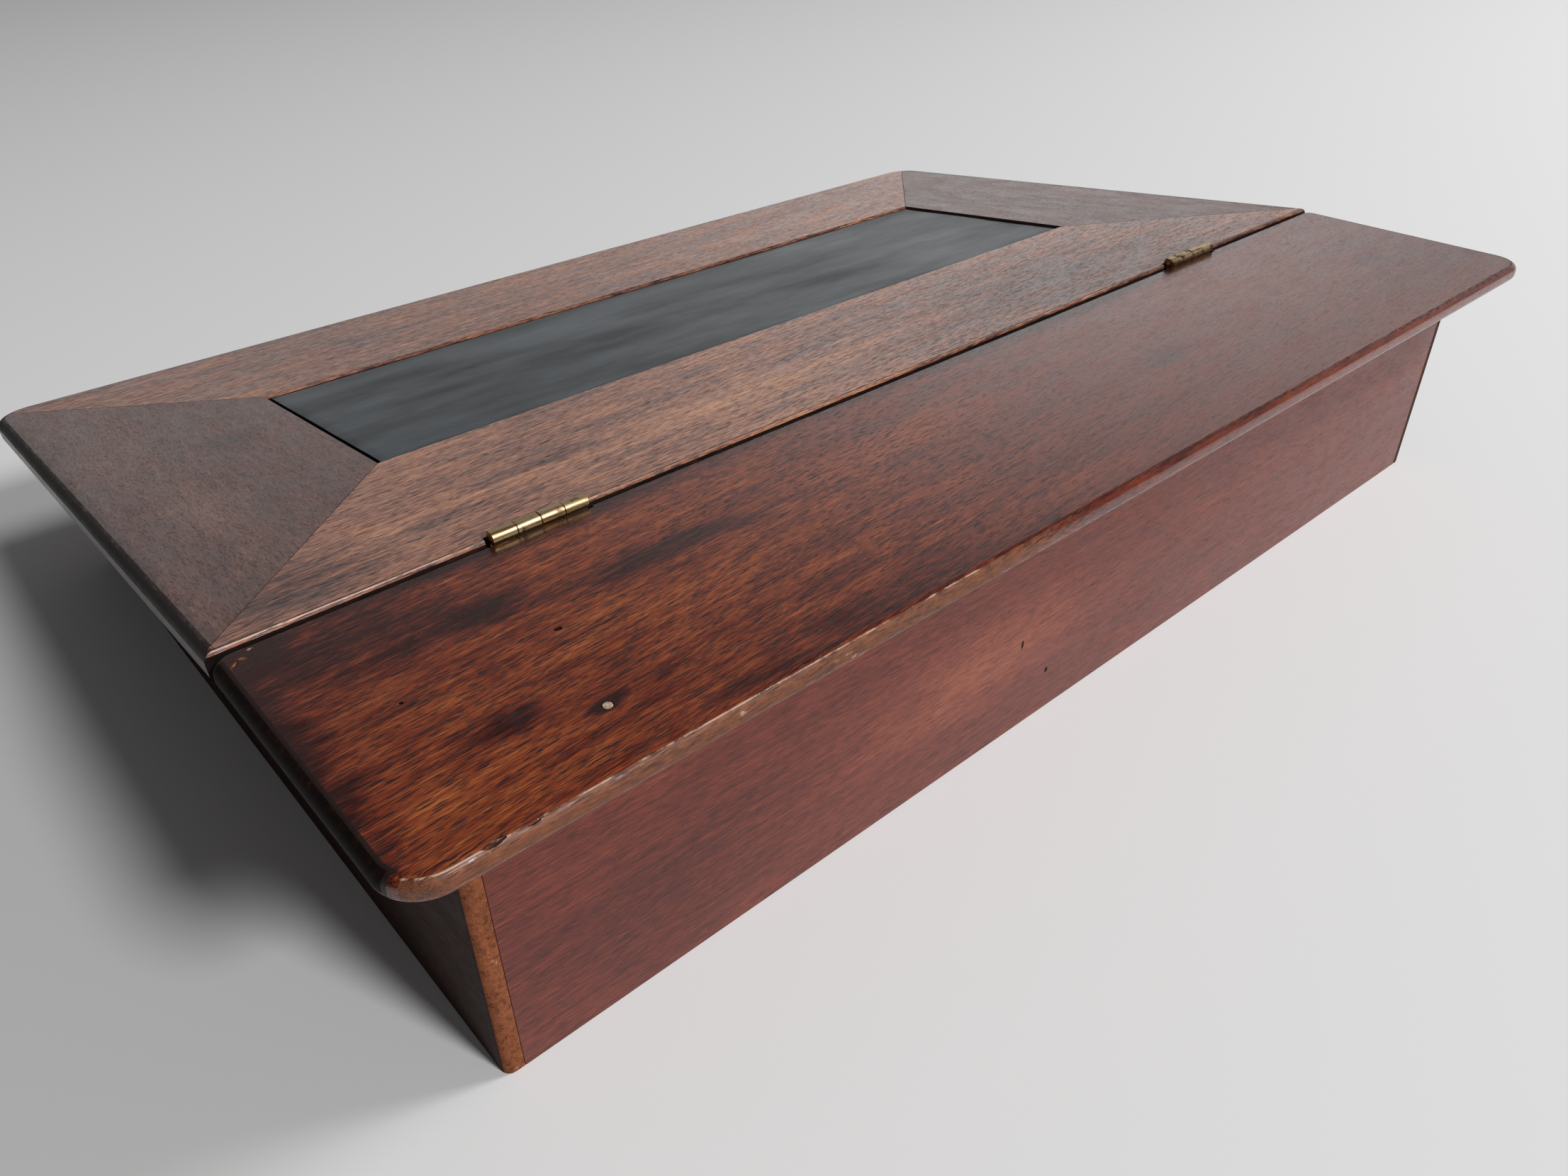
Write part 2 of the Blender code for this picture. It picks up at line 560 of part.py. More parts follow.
def build_lock_case(front, brass, steel, carrier):
    """The lock's case behind the plate, hollow where the bolt runs, with the keyhole through it, and the
    brass lining of the keyhole in the front."""
    half = LOCK_CASE_LENGTH / 2
    foot = LOCK_CASE_TOP - LOCK_CASE_DROP
    body = block((-half, LOCK_CASE_FRONT, foot), (half, LOCK_CASE_BACK, LOCK_CASE_TOP))
    lock_case = piece("lock_case", body, steel, carrier)
    run = half - LOCK_WALL
    hollow = block((-run, LOCK_CASE_FRONT + LOCK_WALL, BAR_FOOT - RUN_GAP),
                   (run, LOCK_CASE_BACK + SPARE, LOCK_CASE_TOP + SPARE))
    combine(lock_case, cutter("hollow_for_bolt", hollow))
    keyway = cutter("keyway", prism(keyhole_outline(0), "Y", FRONT_FACE - SPARE, FRONT_INNER + SPARE))
    combine(lock_case, keyway)

    lining_back = LOCK_CASE_FRONT - JOINT_GAP
    lining_bm = prism(keyhole_outline(KEY_LINING), "Y", FRONT_FACE, lining_back)
    lining = piece("keyhole_lining", lining_bm, brass, carrier)
    combine(lining, keyway)
    seat = prism(keyhole_outline(KEY_LINING + JOINT_GAP / 2), "Y", FRONT_FACE - SPARE, FRONT_INNER)
    housings = {
        "seat_for_keyhole_lining": seat,
        "recess_for_lock_case": block((-half - JOINT_GAP, lining_back, foot - JOINT_GAP),
                                      (half + JOINT_GAP, FRONT_INNER + SPARE, LOCK_TOP + SPARE)),
        "recess_for_lock_plate": block(
            (-LOCK_LENGTH / 2 - JOINT_GAP, LOCK_CASE_BACK, LOCK_TOP - LOCK_DROP - JOINT_GAP),
            (LOCK_LENGTH / 2 + JOINT_GAP, FRONT_INNER + SPARE, LOCK_TOP + SPARE)),
        "recess_for_selvedge": block(
            (-LOCK_LENGTH / 2 - JOINT_GAP, FRONT_INNER - SELVEDGE_WIDTH - JOINT_GAP, LOCK_CASE_TOP),
            (LOCK_LENGTH / 2 + JOINT_GAP, FRONT_INNER + SPARE, LOCK_TOP + SPARE)),
    }
    for name, bm in housings.items():
        combine(front, cutter(name, bm))


def build_bolt(brass, carrier):
    """The sliding bolt: a bar that fills the case's run, with two fingers that pass through the links."""
    finger_top = EYE_TOP - RUN_GAP
    finger_foot = EYE_FOOT + RUN_GAP
    combs = []
    for x in (-LINK_SPACING / 2, LINK_SPACING / 2):
        tip = x - LINK_THICK / 2 - RUN_GAP
        post_right = tip - BOLT_THROW
        post_left = post_right - BOLT_POST
        combs.append([
            (post_left, BAR_FOOT),
            (post_right, BAR_FOOT),
            (post_right, finger_foot),
            (tip, finger_foot),
            (tip, finger_top),
            (post_left, finger_top),
        ])
    bar_left = combs[0][0][0]
    bar_right = combs[1][1][0]
    bar = block((bar_left, LOCK_CASE_FRONT + LOCK_WALL + RUN_GAP, BAR_FOOT),
                (bar_right, LOCK_CASE_BACK - RUN_GAP, BAR_TOP))
    bolt = piece("lock_bolt", bar, brass, carrier)
    for number, outline in enumerate(combs, start=1):
        finger = prism(outline, "Y", LINK_Y - BOLT_THICK / 2, LINK_Y + BOLT_THICK / 2)
        combine(bolt, cutter(f"bolt_finger_{number}", finger), "UNION")


def build_link_plate(rail, brass, carrier):
    """The plate let into the underside of the lid, with two links that drop into the lock."""
    middle = (LID_PLACE.inverted() @ Vector((0, LINK_Y, wall_top(LINK_Y) + JOINT_GAP))).y
    half = LINK_PLATE_LENGTH / 2
    low = (-half, middle - LINK_PLATE_WIDTH / 2, -LID_THICK)
    high = (half, middle + LINK_PLATE_WIDTH / 2, LINK_PLATE_THICK - LID_THICK)
    plate_bm = block(low, high)
    room = Vector((JOINT_GAP, JOINT_GAP, JOINT_GAP))
    housing = block(Vector(low) - room - Vector((0, 0, SPARE)), Vector(high) + room)
    for bm in (plate_bm, housing):
        bmesh.ops.transform(bm, verts=bm.verts, matrix=LID_PLACE)
    plate = piece("link_plate", plate_bm, brass, carrier)
    combine(rail, cutter("housing_for_link_plate", housing))
    root = wall_top(LINK_Y) + JOINT_GAP + LINK_PLATE_THICK / 2
    for number, x in enumerate((-LINK_SPACING / 2, LINK_SPACING / 2), start=1):
        link = block((x - LINK_THICK / 2, LINK_Y - LINK_WIDTH / 2, LINK_FOOT),
                     (x + LINK_THICK / 2, LINK_Y + LINK_WIDTH / 2, root))
        combine(plate, cutter(f"link_{number}", link), "UNION")
    eyes = block((-LINK_SPACING, LINK_Y - LINK_EYE_WIDTH / 2, EYE_FOOT),
                 (LINK_SPACING, LINK_Y + LINK_EYE_WIDTH / 2, EYE_TOP))
    combine(plate, cutter("eyes_of_links", eyes))
    into_lid = LID_PLACE.to_3x3() @ Vector((0, 0, 1))
    for number, x in enumerate((LINK_SCREW_INSET - half, half - LINK_SCREW_INSET), start=1):
        point = LID_PLACE @ Vector((x, middle, -LID_THICK))
        drive_screw(f"link_screw_{number}", point, into_lid, LINK_SCREW_LENGTH, brass, carrier,
                    (plate, rail))


def main():
    for obj in list(bpy.data.objects):
        bpy.data.objects.remove(obj)

    case_wood = finish("mahogany, satin", "6E3F38", 0.45)
    ledge_wood = finish("mahogany, polished", "7A3B22", 0.28)
    lid_wood = finish("mahogany, rubbed dull", "7C5A50", 0.5)
    leather = finish("black leather", "2B3031", 0.5)
    brass = finish("brass", "C9A24B", 0.3, 1.0)
    steel = finish("steel", "6A6662", 0.45, 1.0)
    filler = finish("filler", "B89A84", 0.8)

    case = pivot("case", (0, 0, 0))
    lid = pivot("lid_pivot", HINGE_AXIS)
    bolt = pivot("bolt_slide", (0, LINK_Y, EYE_FOOT))
    lid.parent = case
    bolt.parent = case

    walls = build_case(case_wood, case)
    ledge = build_ledge(ledge_wood, case)
    build_brad(ledge, walls["back_panel"], steel, filler, case)
    frame = build_lid_frame(lid_wood, lid)
    build_writing_surface(lid_wood, leather, lid)
    for place in HINGE_MIDDLES:
        build_hinge(place, ledge, frame["lid_hinge_rail"], brass, case, lid)
    build_lock_case(walls["front_panel"], brass, steel, case)
    build_lock_plate(walls["front_panel"], brass, case)
    build_bolt(brass, bolt)
    build_link_plate(frame["lid_front_rail"], brass, lid)


main()
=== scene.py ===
"""Looks of the travel writing box: an old wedge-shaped mahogany case with a polished ledge along its tall
back, and a sloping lid, rubbed dull by use, that carries a black leather inset.

Metres, +Z up. The writer sits at -Y. The camera stands behind the box, over its right back corner.
"""

import json
from math import acos, atan2, cos, degrees, hypot, pi, radians, sin, tan

import bmesh
import bpy
from mathutils import Matrix, Quaternion, Vector, noise


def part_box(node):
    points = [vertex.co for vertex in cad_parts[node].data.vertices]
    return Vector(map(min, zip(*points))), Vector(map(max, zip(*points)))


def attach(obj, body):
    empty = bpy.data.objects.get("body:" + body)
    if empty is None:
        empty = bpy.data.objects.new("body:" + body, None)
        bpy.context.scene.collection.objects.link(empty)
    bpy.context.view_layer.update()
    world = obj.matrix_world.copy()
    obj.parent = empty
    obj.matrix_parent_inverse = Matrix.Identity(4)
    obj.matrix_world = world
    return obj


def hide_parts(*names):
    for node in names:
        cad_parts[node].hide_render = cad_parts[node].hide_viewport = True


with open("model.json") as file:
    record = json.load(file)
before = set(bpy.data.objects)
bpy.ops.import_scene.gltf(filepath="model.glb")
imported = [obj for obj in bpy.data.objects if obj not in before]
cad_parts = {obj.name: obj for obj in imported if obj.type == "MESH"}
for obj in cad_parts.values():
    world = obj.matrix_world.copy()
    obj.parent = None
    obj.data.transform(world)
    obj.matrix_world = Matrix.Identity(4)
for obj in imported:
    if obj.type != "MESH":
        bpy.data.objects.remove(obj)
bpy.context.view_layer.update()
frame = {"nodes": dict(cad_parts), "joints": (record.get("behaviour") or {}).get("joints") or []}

MM = 0.001
TINY = 0.01 * MM
WELD = TINY / 10  # points nearer than this are one point
OVERSHOOT = 10 * MM  # how far a cutting tool reaches past a face

# Wear of a face, with light and shade painted into it: from dirt together with painted shade, through 0,
# as finished, to 1, rubbed pale, which on some edges is also a painted highlight
DIRT_AND_SHADE = -1.0
DIRT_AND_SHADE_ONLY = -0.98  # from here down a face is nothing but dirt and painted shade
BARE = 0.85

# Edges of the boards
LEDGE_CORNER = 9.5 * MM
LID_CORNER = 11.0 * MM
END_ROUND = 2.6 * MM  # upper edge at the ends of ledge and lid, and along the lid's front
BACK_ROUND = 2.0 * MM  # upper edge along the back of the ledge
UNDER_ROUND = 2.4 * MM
HINGE_ROUND = 0.6 * MM  # upper edge of the lid in the hinge joint
LEDGE_JOINT_ROUND = 0.9 * MM  # upper edge of the ledge in the hinge joint
LEDGE_JOINT_CORNER = 3.2 * MM
ROUND_STEPS = 10
CORNER_STEPS = 14
ARRIS = 0.35 * MM  # every other edge, just eased
UPRIGHT_ROUND = 2.0 * MM  # outer upright corners of the case
UPRIGHT_STEPS = 6
MITRE_ARRIS = 0.08 * MM
EASED_FROM = radians(50)  # edges that turn by less are left
SMOOTH_UP_TO = radians(35)  # faces that turn by less are shaded as one round
JOINT_GAP = 0.3 * MM
MITRE_GAP = 0.1 * MM
UNSHADED_DEPTH = 1.0 * MM  # upper part of the lid's edge in the hinge joint that is left as wood; below it the edge is painted dark as shade
JOINT_SWELL = 0.22 * MM  # by which back and front fill their joints at either end

# Back edge of the ledge, by how far a face leans in degrees: wear of its handled half, and of its other half.
# The pale line up to 35 degrees and the pale under edge are partly painted highlights, and the dark top of
# the other half is painted shade
LEDGE_EDGE_WEAR_AND_LIGHT = (
    (14, 0.0, -0.5), (26, 0.3, -0.4), (35, 0.98, -0.4), (98, 0.62, -0.12), (128, 0.5, 0.1),
    (146, 0.6, 0.9), (180, 0.2, 0.2),
)
HANDLED_FROM = 10 * MM  # where along x the handled half begins
HANDLED_FADE = 60 * MM
WEAR_LENGTH = 9 * MM  # the ledge is parted into such lengths, so that its wear can change along it

# Dents and chips, in millimetres: x, y and depth of the middle, size, turn and wear
LEDGE_NICKS = (
    ((186.0, 142.2, 0.3), (2.2, 0.6, 0.5), 0.1, -0.55),
    ((179.0, 142.4, 0.4), (1.2, 0.4, 0.35), 0.0, -0.4),
    ((199.5, 70.5, 0.1), (1.4, 0.5, 0.5), 0.9, BARE),
    ((197.5, 69.5, 0.0), (0.9, 0.4, 0.4), -0.4, BARE),
    ((195.5, 67.4, 0.2), (0.7, 0.35, 0.5), 0.2, BARE),
    ((181.4, 101.7, 0.0), (0.45, 0.4, 0.5), 0.0, DIRT_AND_SHADE),
    ((148.7, 101.5, 0.0), (0.9, 0.5, 0.3), 0.0, DIRT_AND_SHADE),
)
BACK_NICKS = (((34.0, 28.0), (0.5, 0.3, 1.3)), ((22.0, 13.7), (0.7, 0.3, 0.9)))  # x and z, and size
NICK_RAGGED = 0.35  # share of its size by which a dent is ragged
NICK_LUMPS = 2.3  # how many lumps lie along half its length

# Hinges and screws
KNUCKLES = 4
LEAF_THICK = 0.7 * MM
LEAF_PLAY = 0.3 * MM
KNUCKLE_PLAY = 0.3 * MM
PIN_BORE = 1.0 * MM
RUN_GAP = 0.45 * MM
MORTISE_GAP = 0.9 * MM  # beyond each end of a barrel, where the wood has broken away
BRASS_EASE = 0.12 * MM
FLATS = {"ledge": 0.80, "lid": 0.90}  # the tops of the knuckles are rubbed flat, at this share of the radius
SLOT_WIDTH = 0.45 * MM
SLOT_DEPTH = 0.35 * MM
SHANK_SHARE = 0.54  # of the head's radius
POINT_SHARE = 0.3  # of the shank's length
POINT_TAPER = 0.2
SCREW_HEAD = 0.6 * MM
SCREW_EASE = 0.05 * MM
SCREW_TURN = 0.6  # of the first slot
SCREW_TURN_STEP = 1.1  # from one slot to the next
KNUCKLE_SIDES = 48
SCREW_SIDES = 28
HOLE_SIDES = 24

# Leather
SHRINK = 0.4 * MM
END_SHRINK = 1.6 * MM
LEATHER_THICK = 0.8 * MM
LEATHER_GRID = (180, 60)
LONG_RIPPLE = Vector((90, 16, 0.14)) * MM  # length, width and height
SHORT_RIPPLE = Vector((25, 7, 0.05)) * MM
PRESSED_WIDTH = 1.6 * MM  # of the border, where the leather was pressed into its recess
PRESSED_DEPTH = 0.3 * MM
LEATHER_NICK = Vector((85.3, -115.7, 0)) * MM  # in the lie of the lid
LEATHER_NICK_SIZE = (2.2 * MM, 0.9 * MM, 5 * MM)

# Camera and light
EYE = Vector((0.2349, 0.2676, 0.2089))
AZIMUTH = radians(139.07)
ELEVATION = radians(34.40)
ROLL = radians(-0.91)
SENSOR = 36.0
LENS = 26.85
FLOOR_SIZE = 4.4
WINDOW_DISTANCE = 3.5
WINDOWS = (  # name, way to it, energy, size, and whether polish mirrors it
    ("window behind the camera", (-0.17, 0.98, 0.75), 90.0, 0.7, True),
    ("window on the right", (-0.93, 0.38, 0.84), 66.0, 1.0, False),
)
# The room as polish mirrors it: its level by height, and by heading towards the light wall
LIGHT_WALL = (-0.777, -0.629, 0)
HEIGHT_LEVELS = [(0.36, 0.75), (0.68, 0.02), (0.50, 0.38), (0.56, 0.11), (0.62, 0.06)]
HEADING_LEVELS = [(0.30, 0.05), (1.0, 1.45), (0.72, 0.78), (0.92, 0.78), (0.97, 1.12), (0.9945, 1.35)]
# The soft light that the room gives, from its dim side to its bright one, and what the camera sees of it
BRIGHT_SIDE = (-0.75, 0.66, 0)
DIM_LEVEL = 0.06
BRIGHT_LEVEL = 0.2
BACKGROUND = (0.85, 0.85, 0.85, 1.0)

top_low, top_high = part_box("top_ledge")
hinge_axis = Vector(next(j["pos_m"] for j in frame["joints"] if j["name"] == "lid_hinge"))


def lid_lie():
    """Where the lid lies: the middle of its hinge edge, with x along the edge and z square to the slope."""
    faces = [f for f in frame["nodes"]["lid_right_stile"].data.polygons if f.normal.z > 0.9]
    top = max(faces, key=lambda face: face.area)
    slope = atan2(-top.normal.y, top.normal.z)
    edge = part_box("lid_hinge_rail")[1].y
    height = top.center.z + (edge - top.center.y) * tan(slope)
    return Matrix.Translation((0, edge, height)) @ Matrix.Rotation(slope, 4, "X")


LID = lid_lie()


def lid_box(node, lie=LID):
    """Lowest and highest corner of a node, measured along the lid and square to it, or in another lie."""
    points = [lie.inverted() @ vert.co for vert in frame["nodes"][node].data.vertices]
    return Vector(map(min, zip(*points))), Vector(map(max, zip(*points)))


# Workshop: stock, tools and finishing


def stock(name, low, high):
    """A squared piece of stock between two corners."""
    low = Vector(low)
    high = Vector(high)
    bpy.ops.object.select_all(action="DESELECT")
    bpy.ops.mesh.primitive_cube_add(size=1, location=(low + high) / 2)
    obj = bpy.context.object
    obj.name = name
    obj.scale = high - low
    bpy.ops.object.transform_apply(location=True, rotation=True, scale=True)
    return obj


def rod(name, radius, start, end, sides):
    """A round rod between two points."""
    along = Vector(end) - Vector(start)
    bpy.ops.object.select_all(action="DESELECT")
    bpy.ops.mesh.primitive_cylinder_add(vertices=sides, radius=radius, depth=along.length)
    obj = bpy.context.object
    obj.name = name
    turn = along.to_track_quat("Z", "Y").to_matrix().to_4x4()
    obj.data.transform(Matrix.Translation((Vector(start) + Vector(end)) / 2) @ turn)
    return obj


def take(obj):
    """Take one piece in hand, and lay down all others."""
    bpy.ops.object.select_all(action="DESELECT")
    obj.select_set(True)
    bpy.context.view_layer.objects.active = obj


def edit(obj):
    """Open a piece in edit mode."""
    take(obj)
    bpy.ops.object.mode_set(mode="EDIT")


def choose(kind, test):
    """Select only the edges or the faces of the open piece that pass a test."""
    bpy.ops.mesh.select_all(action="DESELECT")
    bpy.ops.mesh.select_mode(type=kind)
    mesh = bpy.context.object.data
    bm = bmesh.from_edit_mesh(mesh)
    for item in {"EDGE": bm.edges, "FACE": bm.faces}[kind]:
        item.select_set(test(item))
    bm.select_flush_mode()
    bmesh.update_edit_mesh(mesh)


def close():
    """Leave edit mode."""
    bpy.ops.object.mode_set(mode="OBJECT")


def round_edges(obj, radius, steps, test):
    """Round the edges whose two ends both pass a test on their place."""
    edit(obj)
    choose("EDGE", lambda edge: all(test(vert.co) for vert in edge.verts))
    bpy.ops.mesh.bevel(offset=radius, segments=steps, profile=0.5, affect="EDGES")
    close()


def score(obj, point, normal, **settings):
    """Part the faces of a piece along a plane, so that its wear can change there."""
    edit(obj)
    bpy.ops.mesh.select_all(action="SELECT")
    bpy.ops.mesh.bisect(plane_co=point, plane_no=normal, threshold=WELD, **settings)
    close()


def saw(obj, point, normal):
    """Take off what lies beyond a plane, on the side that its normal points to, and close the cut."""
    score(obj, point, normal, use_fill=True, clear_outer=True)


def part_lengths(obj, step):
    """Part a board into short lengths along x."""
    places = [vert.co.x for vert in obj.data.vertices]
    start = min(places)
    length = max(places) - start
    count = round(length / step)
    for index in range(1, count):
        score(obj, (start + length * index / count, 0, 0), (1, 0, 0))


def work(obj, kind, **settings):
    """Put a modifier on a piece and apply it."""
    modifier = obj.modifiers.new(kind.lower(), kind)
    for key, value in settings.items():
        setattr(modifier, key, value)
    take(obj)
    bpy.ops.object.modifier_apply(modifier=modifier.name)


def cut(obj, tool):
    """Cut the shape of a tool out of a piece; the tool is used up."""
    work(obj, "BOOLEAN", object=tool, operation="DIFFERENCE", solver="EXACT")
    bpy.data.objects.remove(tool)


def join(obj, other):
    """Fuse another solid to a piece; the other is used up."""
    work(obj, "BOOLEAN", object=other, operation="UNION", solver="EXACT")
    bpy.data.objects.remove(other)


def ease(obj, width):
    """Take the sharpness off every edge of a piece."""
    work(obj, "BEVEL", width=width, segments=2, limit_method="ANGLE", angle_limit=EASED_FROM,
         use_clamp_overlap=True)


def shaped_bevel(obj, width, steps, share):
    """Round the edges of a piece, each by its own share of a width."""
    weights = obj.data.attributes.new("bevel_weight_edge", "FLOAT", "EDGE")
    for edge in obj.data.edges:
        first, second = (obj.data.vertices[index].co for index in edge.vertices)
        weights.data[edge.index].value = share(first, second)
    work(obj, "BEVEL", width=width, segments=steps, limit_method="WEIGHT", use_clamp_overlap=False)


def rub(obj, amount):
    """Note the wear of each face, with the light and shade painted into it, which depends on the way that it
    faces and on its place.
    """
    layer = obj.data.attributes.new("wear_and_light", "FLOAT", "FACE")
    for face in obj.data.polygons:
        layer.data[face.index].value = amount(face.normal, face.center)


def copy_of(obj, name):
    """Another piece of the same shape, with a mesh of its own."""
    twin = obj.copy()
    twin.data = obj.data.copy()
    twin.name = name
    bpy.context.collection.objects.link(twin)
    return twin


def cad_copy(node, name):
    """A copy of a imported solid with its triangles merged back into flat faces."""
    obj = bpy.data.objects.new(name, frame["nodes"][node].data.copy())
    bpy.context.collection.objects.link(obj)
    obj.data.materials.clear()
    edit(obj)
    bpy.ops.mesh.select_all(action="SELECT")
    bpy.ops.mesh.remove_doubles(threshold=WELD)
    bpy.ops.mesh.dissolve_limited(angle_limit=radians(1))
    close()
    return obj


def hand_over(obj, body, slot, materials, *nodes):
    """Finish a piece: dress it, smooth its rounds, and set it on its body in place of its plain solid. A
    second material goes to the faces that are nothing but dirt and painted shade."""
    obj.data.materials.clear()
    for material in materials:
        obj.data.materials.append(material)
    if len(materials) > 1:
        wear_and_light = obj.data.attributes["wear_and_light"].data
        for face in obj.data.polygons:
            face.material_index = 1 if wear_and_light[face.index].value <= DIRT_AND_SHADE_ONLY else 0
    take(obj)
    bpy.ops.object.shade_smooth_by_angle(angle=SMOOTH_UP_TO)
    work(obj, "WEIGHTED_NORMAL", keep_sharp=True)
    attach(obj, body)
    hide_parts(*nodes)


# Materials


def colour(code):
    """An sRGB hex value as linear light."""
    levels = [int(code[i:i + 2], 16) / 255 for i in (0, 2, 4)]
    return (*[((c + 0.055) / 1.055) ** 2.4 if c > 0.04045 else c / 12.92 for c in levels], 1.0)


def feed(tree, node, inputs):
    """Feed the inputs of a node with values, or with the outputs of other nodes."""
    for key, value in inputs.items():
        if isinstance(value, bpy.types.Node):
            value = value.outputs[0]
        if isinstance(value, bpy.types.NodeSocket):
            tree.links.new(value, node.inputs[key])
        else:
            node.inputs[key].default_value = value


def add(tree, kind, inputs=None, stops=(), **settings):
    """Add a node with its settings, the stops of its ramp, and its inputs."""
    node = tree.nodes.new("ShaderNode" + kind)
    for key, value in settings.items():
        setattr(node, key, value)
    for index, (spot, shade) in enumerate(stops):
        elements = node.color_ramp.elements
        stop = elements[index] if index < 2 else elements.new(spot)
        stop.position = spot
        stop.color = shade if isinstance(shade, tuple) else (shade, shade, shade, 1.0)
    feed(tree, node, inputs or {})
    return node


def new_material(name):
    """A new material: its node tree, its shader, and the place on the piece that patterns are drawn by."""
    material = bpy.data.materials.new(name)
    material.use_nodes = True
    tree = material.node_tree
    return material, tree, tree.nodes["Principled BSDF"], add(tree, "TexCoord").outputs["Object"]


# Parts of the grain: length and width of a mark, and how much it shifts the tone. Fibres and pores are drawn
# two or three times as wide as they are, so that they show.
GRAIN = {
    "band": (200 * MM, 15 * MM, 0.35),
    "blotch": (16 * MM, 6 * MM, 0.70),
    "streak": (22 * MM, 1.2 * MM, 0.55),
    "fibre": (4.5 * MM, 0.30 * MM, 0.95),
}
PORES = ((5.0 * MM, 0.44 * MM, 0.40), (2.6 * MM, 0.34 * MM, 0.40))  # length, width, share of it that is open
SWAY = 4 * MM  # how far the grain wanders
SWAY_SIZE = (160 * MM, 40 * MM)
RAGGED = Vector((14 * MM, 4 * MM, 0))  # how far the outline of a stain wanders, along and across the grain
RAGGED_SIZE = (12 * MM, 4 * MM)
RUB_SIZE = (3.6 * MM, 1.3 * MM)  # length and width of a rubbed place
PORE_DIRT = "160806"
# The dark of hands also serves as painted shade, and the pale of bald wood as a painted highlight, on some
# faces
HAND_DIRT_AND_SHADE = "170C08"
PALE_WOOD_AND_HIGHLIGHT = "BBA592"


def per(length, width):
    """Mapping scale for a pattern that is that long along the grain and that wide across it."""
    return (1 / length, 1 / width, 1 / width)


def open_pores(tree, grain):
    """Short open pores along the grain, here and there: 1 inside a pore."""
    pits = 0.0
    for length, width, reach in PORES:
        cells = add(tree, "Mapping", {"Vector": grain, "Scale": per(length, width)})
        cell = add(tree, "TexVoronoi", {"Vector": cells, "Scale": 1.0})
        pore = add(tree, "MapRange", {"Value": cell.outputs["Distance"], "From Min": reach,
                                      "From Max": reach * 0.72}, interpolation_type="SMOOTHSTEP")
        some = add(tree, "MapRange", {"Value": cell.outputs["Color"], "From Min": 0.35, "From Max": 0.5})
        pore = add(tree, "Math", {0: pore, 1: some}, operation="MULTIPLY")
        pits = add(tree, "Math", {0: pits, 1: pore}, operation="MAXIMUM")
    return pits


def rub_through(tree, look, lie, layers, raw):
    """The look of wood after its wear, with light and shade painted in: black with the dirt of hands, which
    on some faces is painted shade, or rubbed to raw wood, and bald in places, which on some edges is a
    painted highlight. Also gives how dull it has gone."""
    wear_and_light = add(tree, "Attribute", attribute_name="wear_and_light").outputs["Fac"]
    rubs = add(tree, "Mapping", {"Vector": lie, "Scale": per(*RUB_SIZE)})
    broken = add(tree, "TexNoise", {"Vector": rubs, "Scale": 1.0, "Detail": 4.0, "Roughness": 0.7})
    ragged = add(tree, "Math", {0: broken, 1: 1.2, 2: -0.6}, operation="MULTIPLY_ADD")
    rubbed = add(tree, "Math", {0: wear_and_light, 1: ragged}, operation="ADD")
    handled = add(tree, "Math", {0: ragged, 1: wear_and_light}, operation="SUBTRACT")
    lines = add(tree, "Math", {0: layers["fibre"], 1: 0.6}, operation="MULTIPLY")
    flecks = add(tree, "Math", {0: broken, 1: 0.6, 2: lines}, operation="MULTIPLY_ADD")
    fresh = add(tree, "ValToRGB", {"Fac": flecks}, stops=[(0.44, colour(raw[0])), (0.68, colour(raw[1]))])
    bald = add(tree, "Math", {0: layers["blotch"], 1: 1.4, 2: -0.7}, operation="MULTIPLY_ADD")
    bald = add(tree, "Math", {0: bald, 1: rubbed}, operation="ADD")
    dull = 0.0
    # dark of hands, also painted shade on some faces; rubbed wood; bald wood, also a painted highlight on
    # some edges
    for value, start, end, most, shade in ((handled, 0.25, 0.7, 0.9, colour(HAND_DIRT_AND_SHADE)),
                                           (rubbed, 0.25, 0.65, 0.88, fresh),
                                           (bald, 0.92, 1.15, 0.75, colour(PALE_WOOD_AND_HIGHLIGHT))):
        bare = add(tree, "MapRange", {"Value": value, "From Min": start, "From Max": end, "To Max": most},
                   interpolation_type="SMOOTHSTEP")
        look = add(tree, "Mix", {"Factor": bare, "A": look.outputs["Result"], "B": shade}, data_type="RGBA")
        dull = add(tree, "Math", {0: dull, 1: bare}, operation="MAXIMUM")
    return look, dull


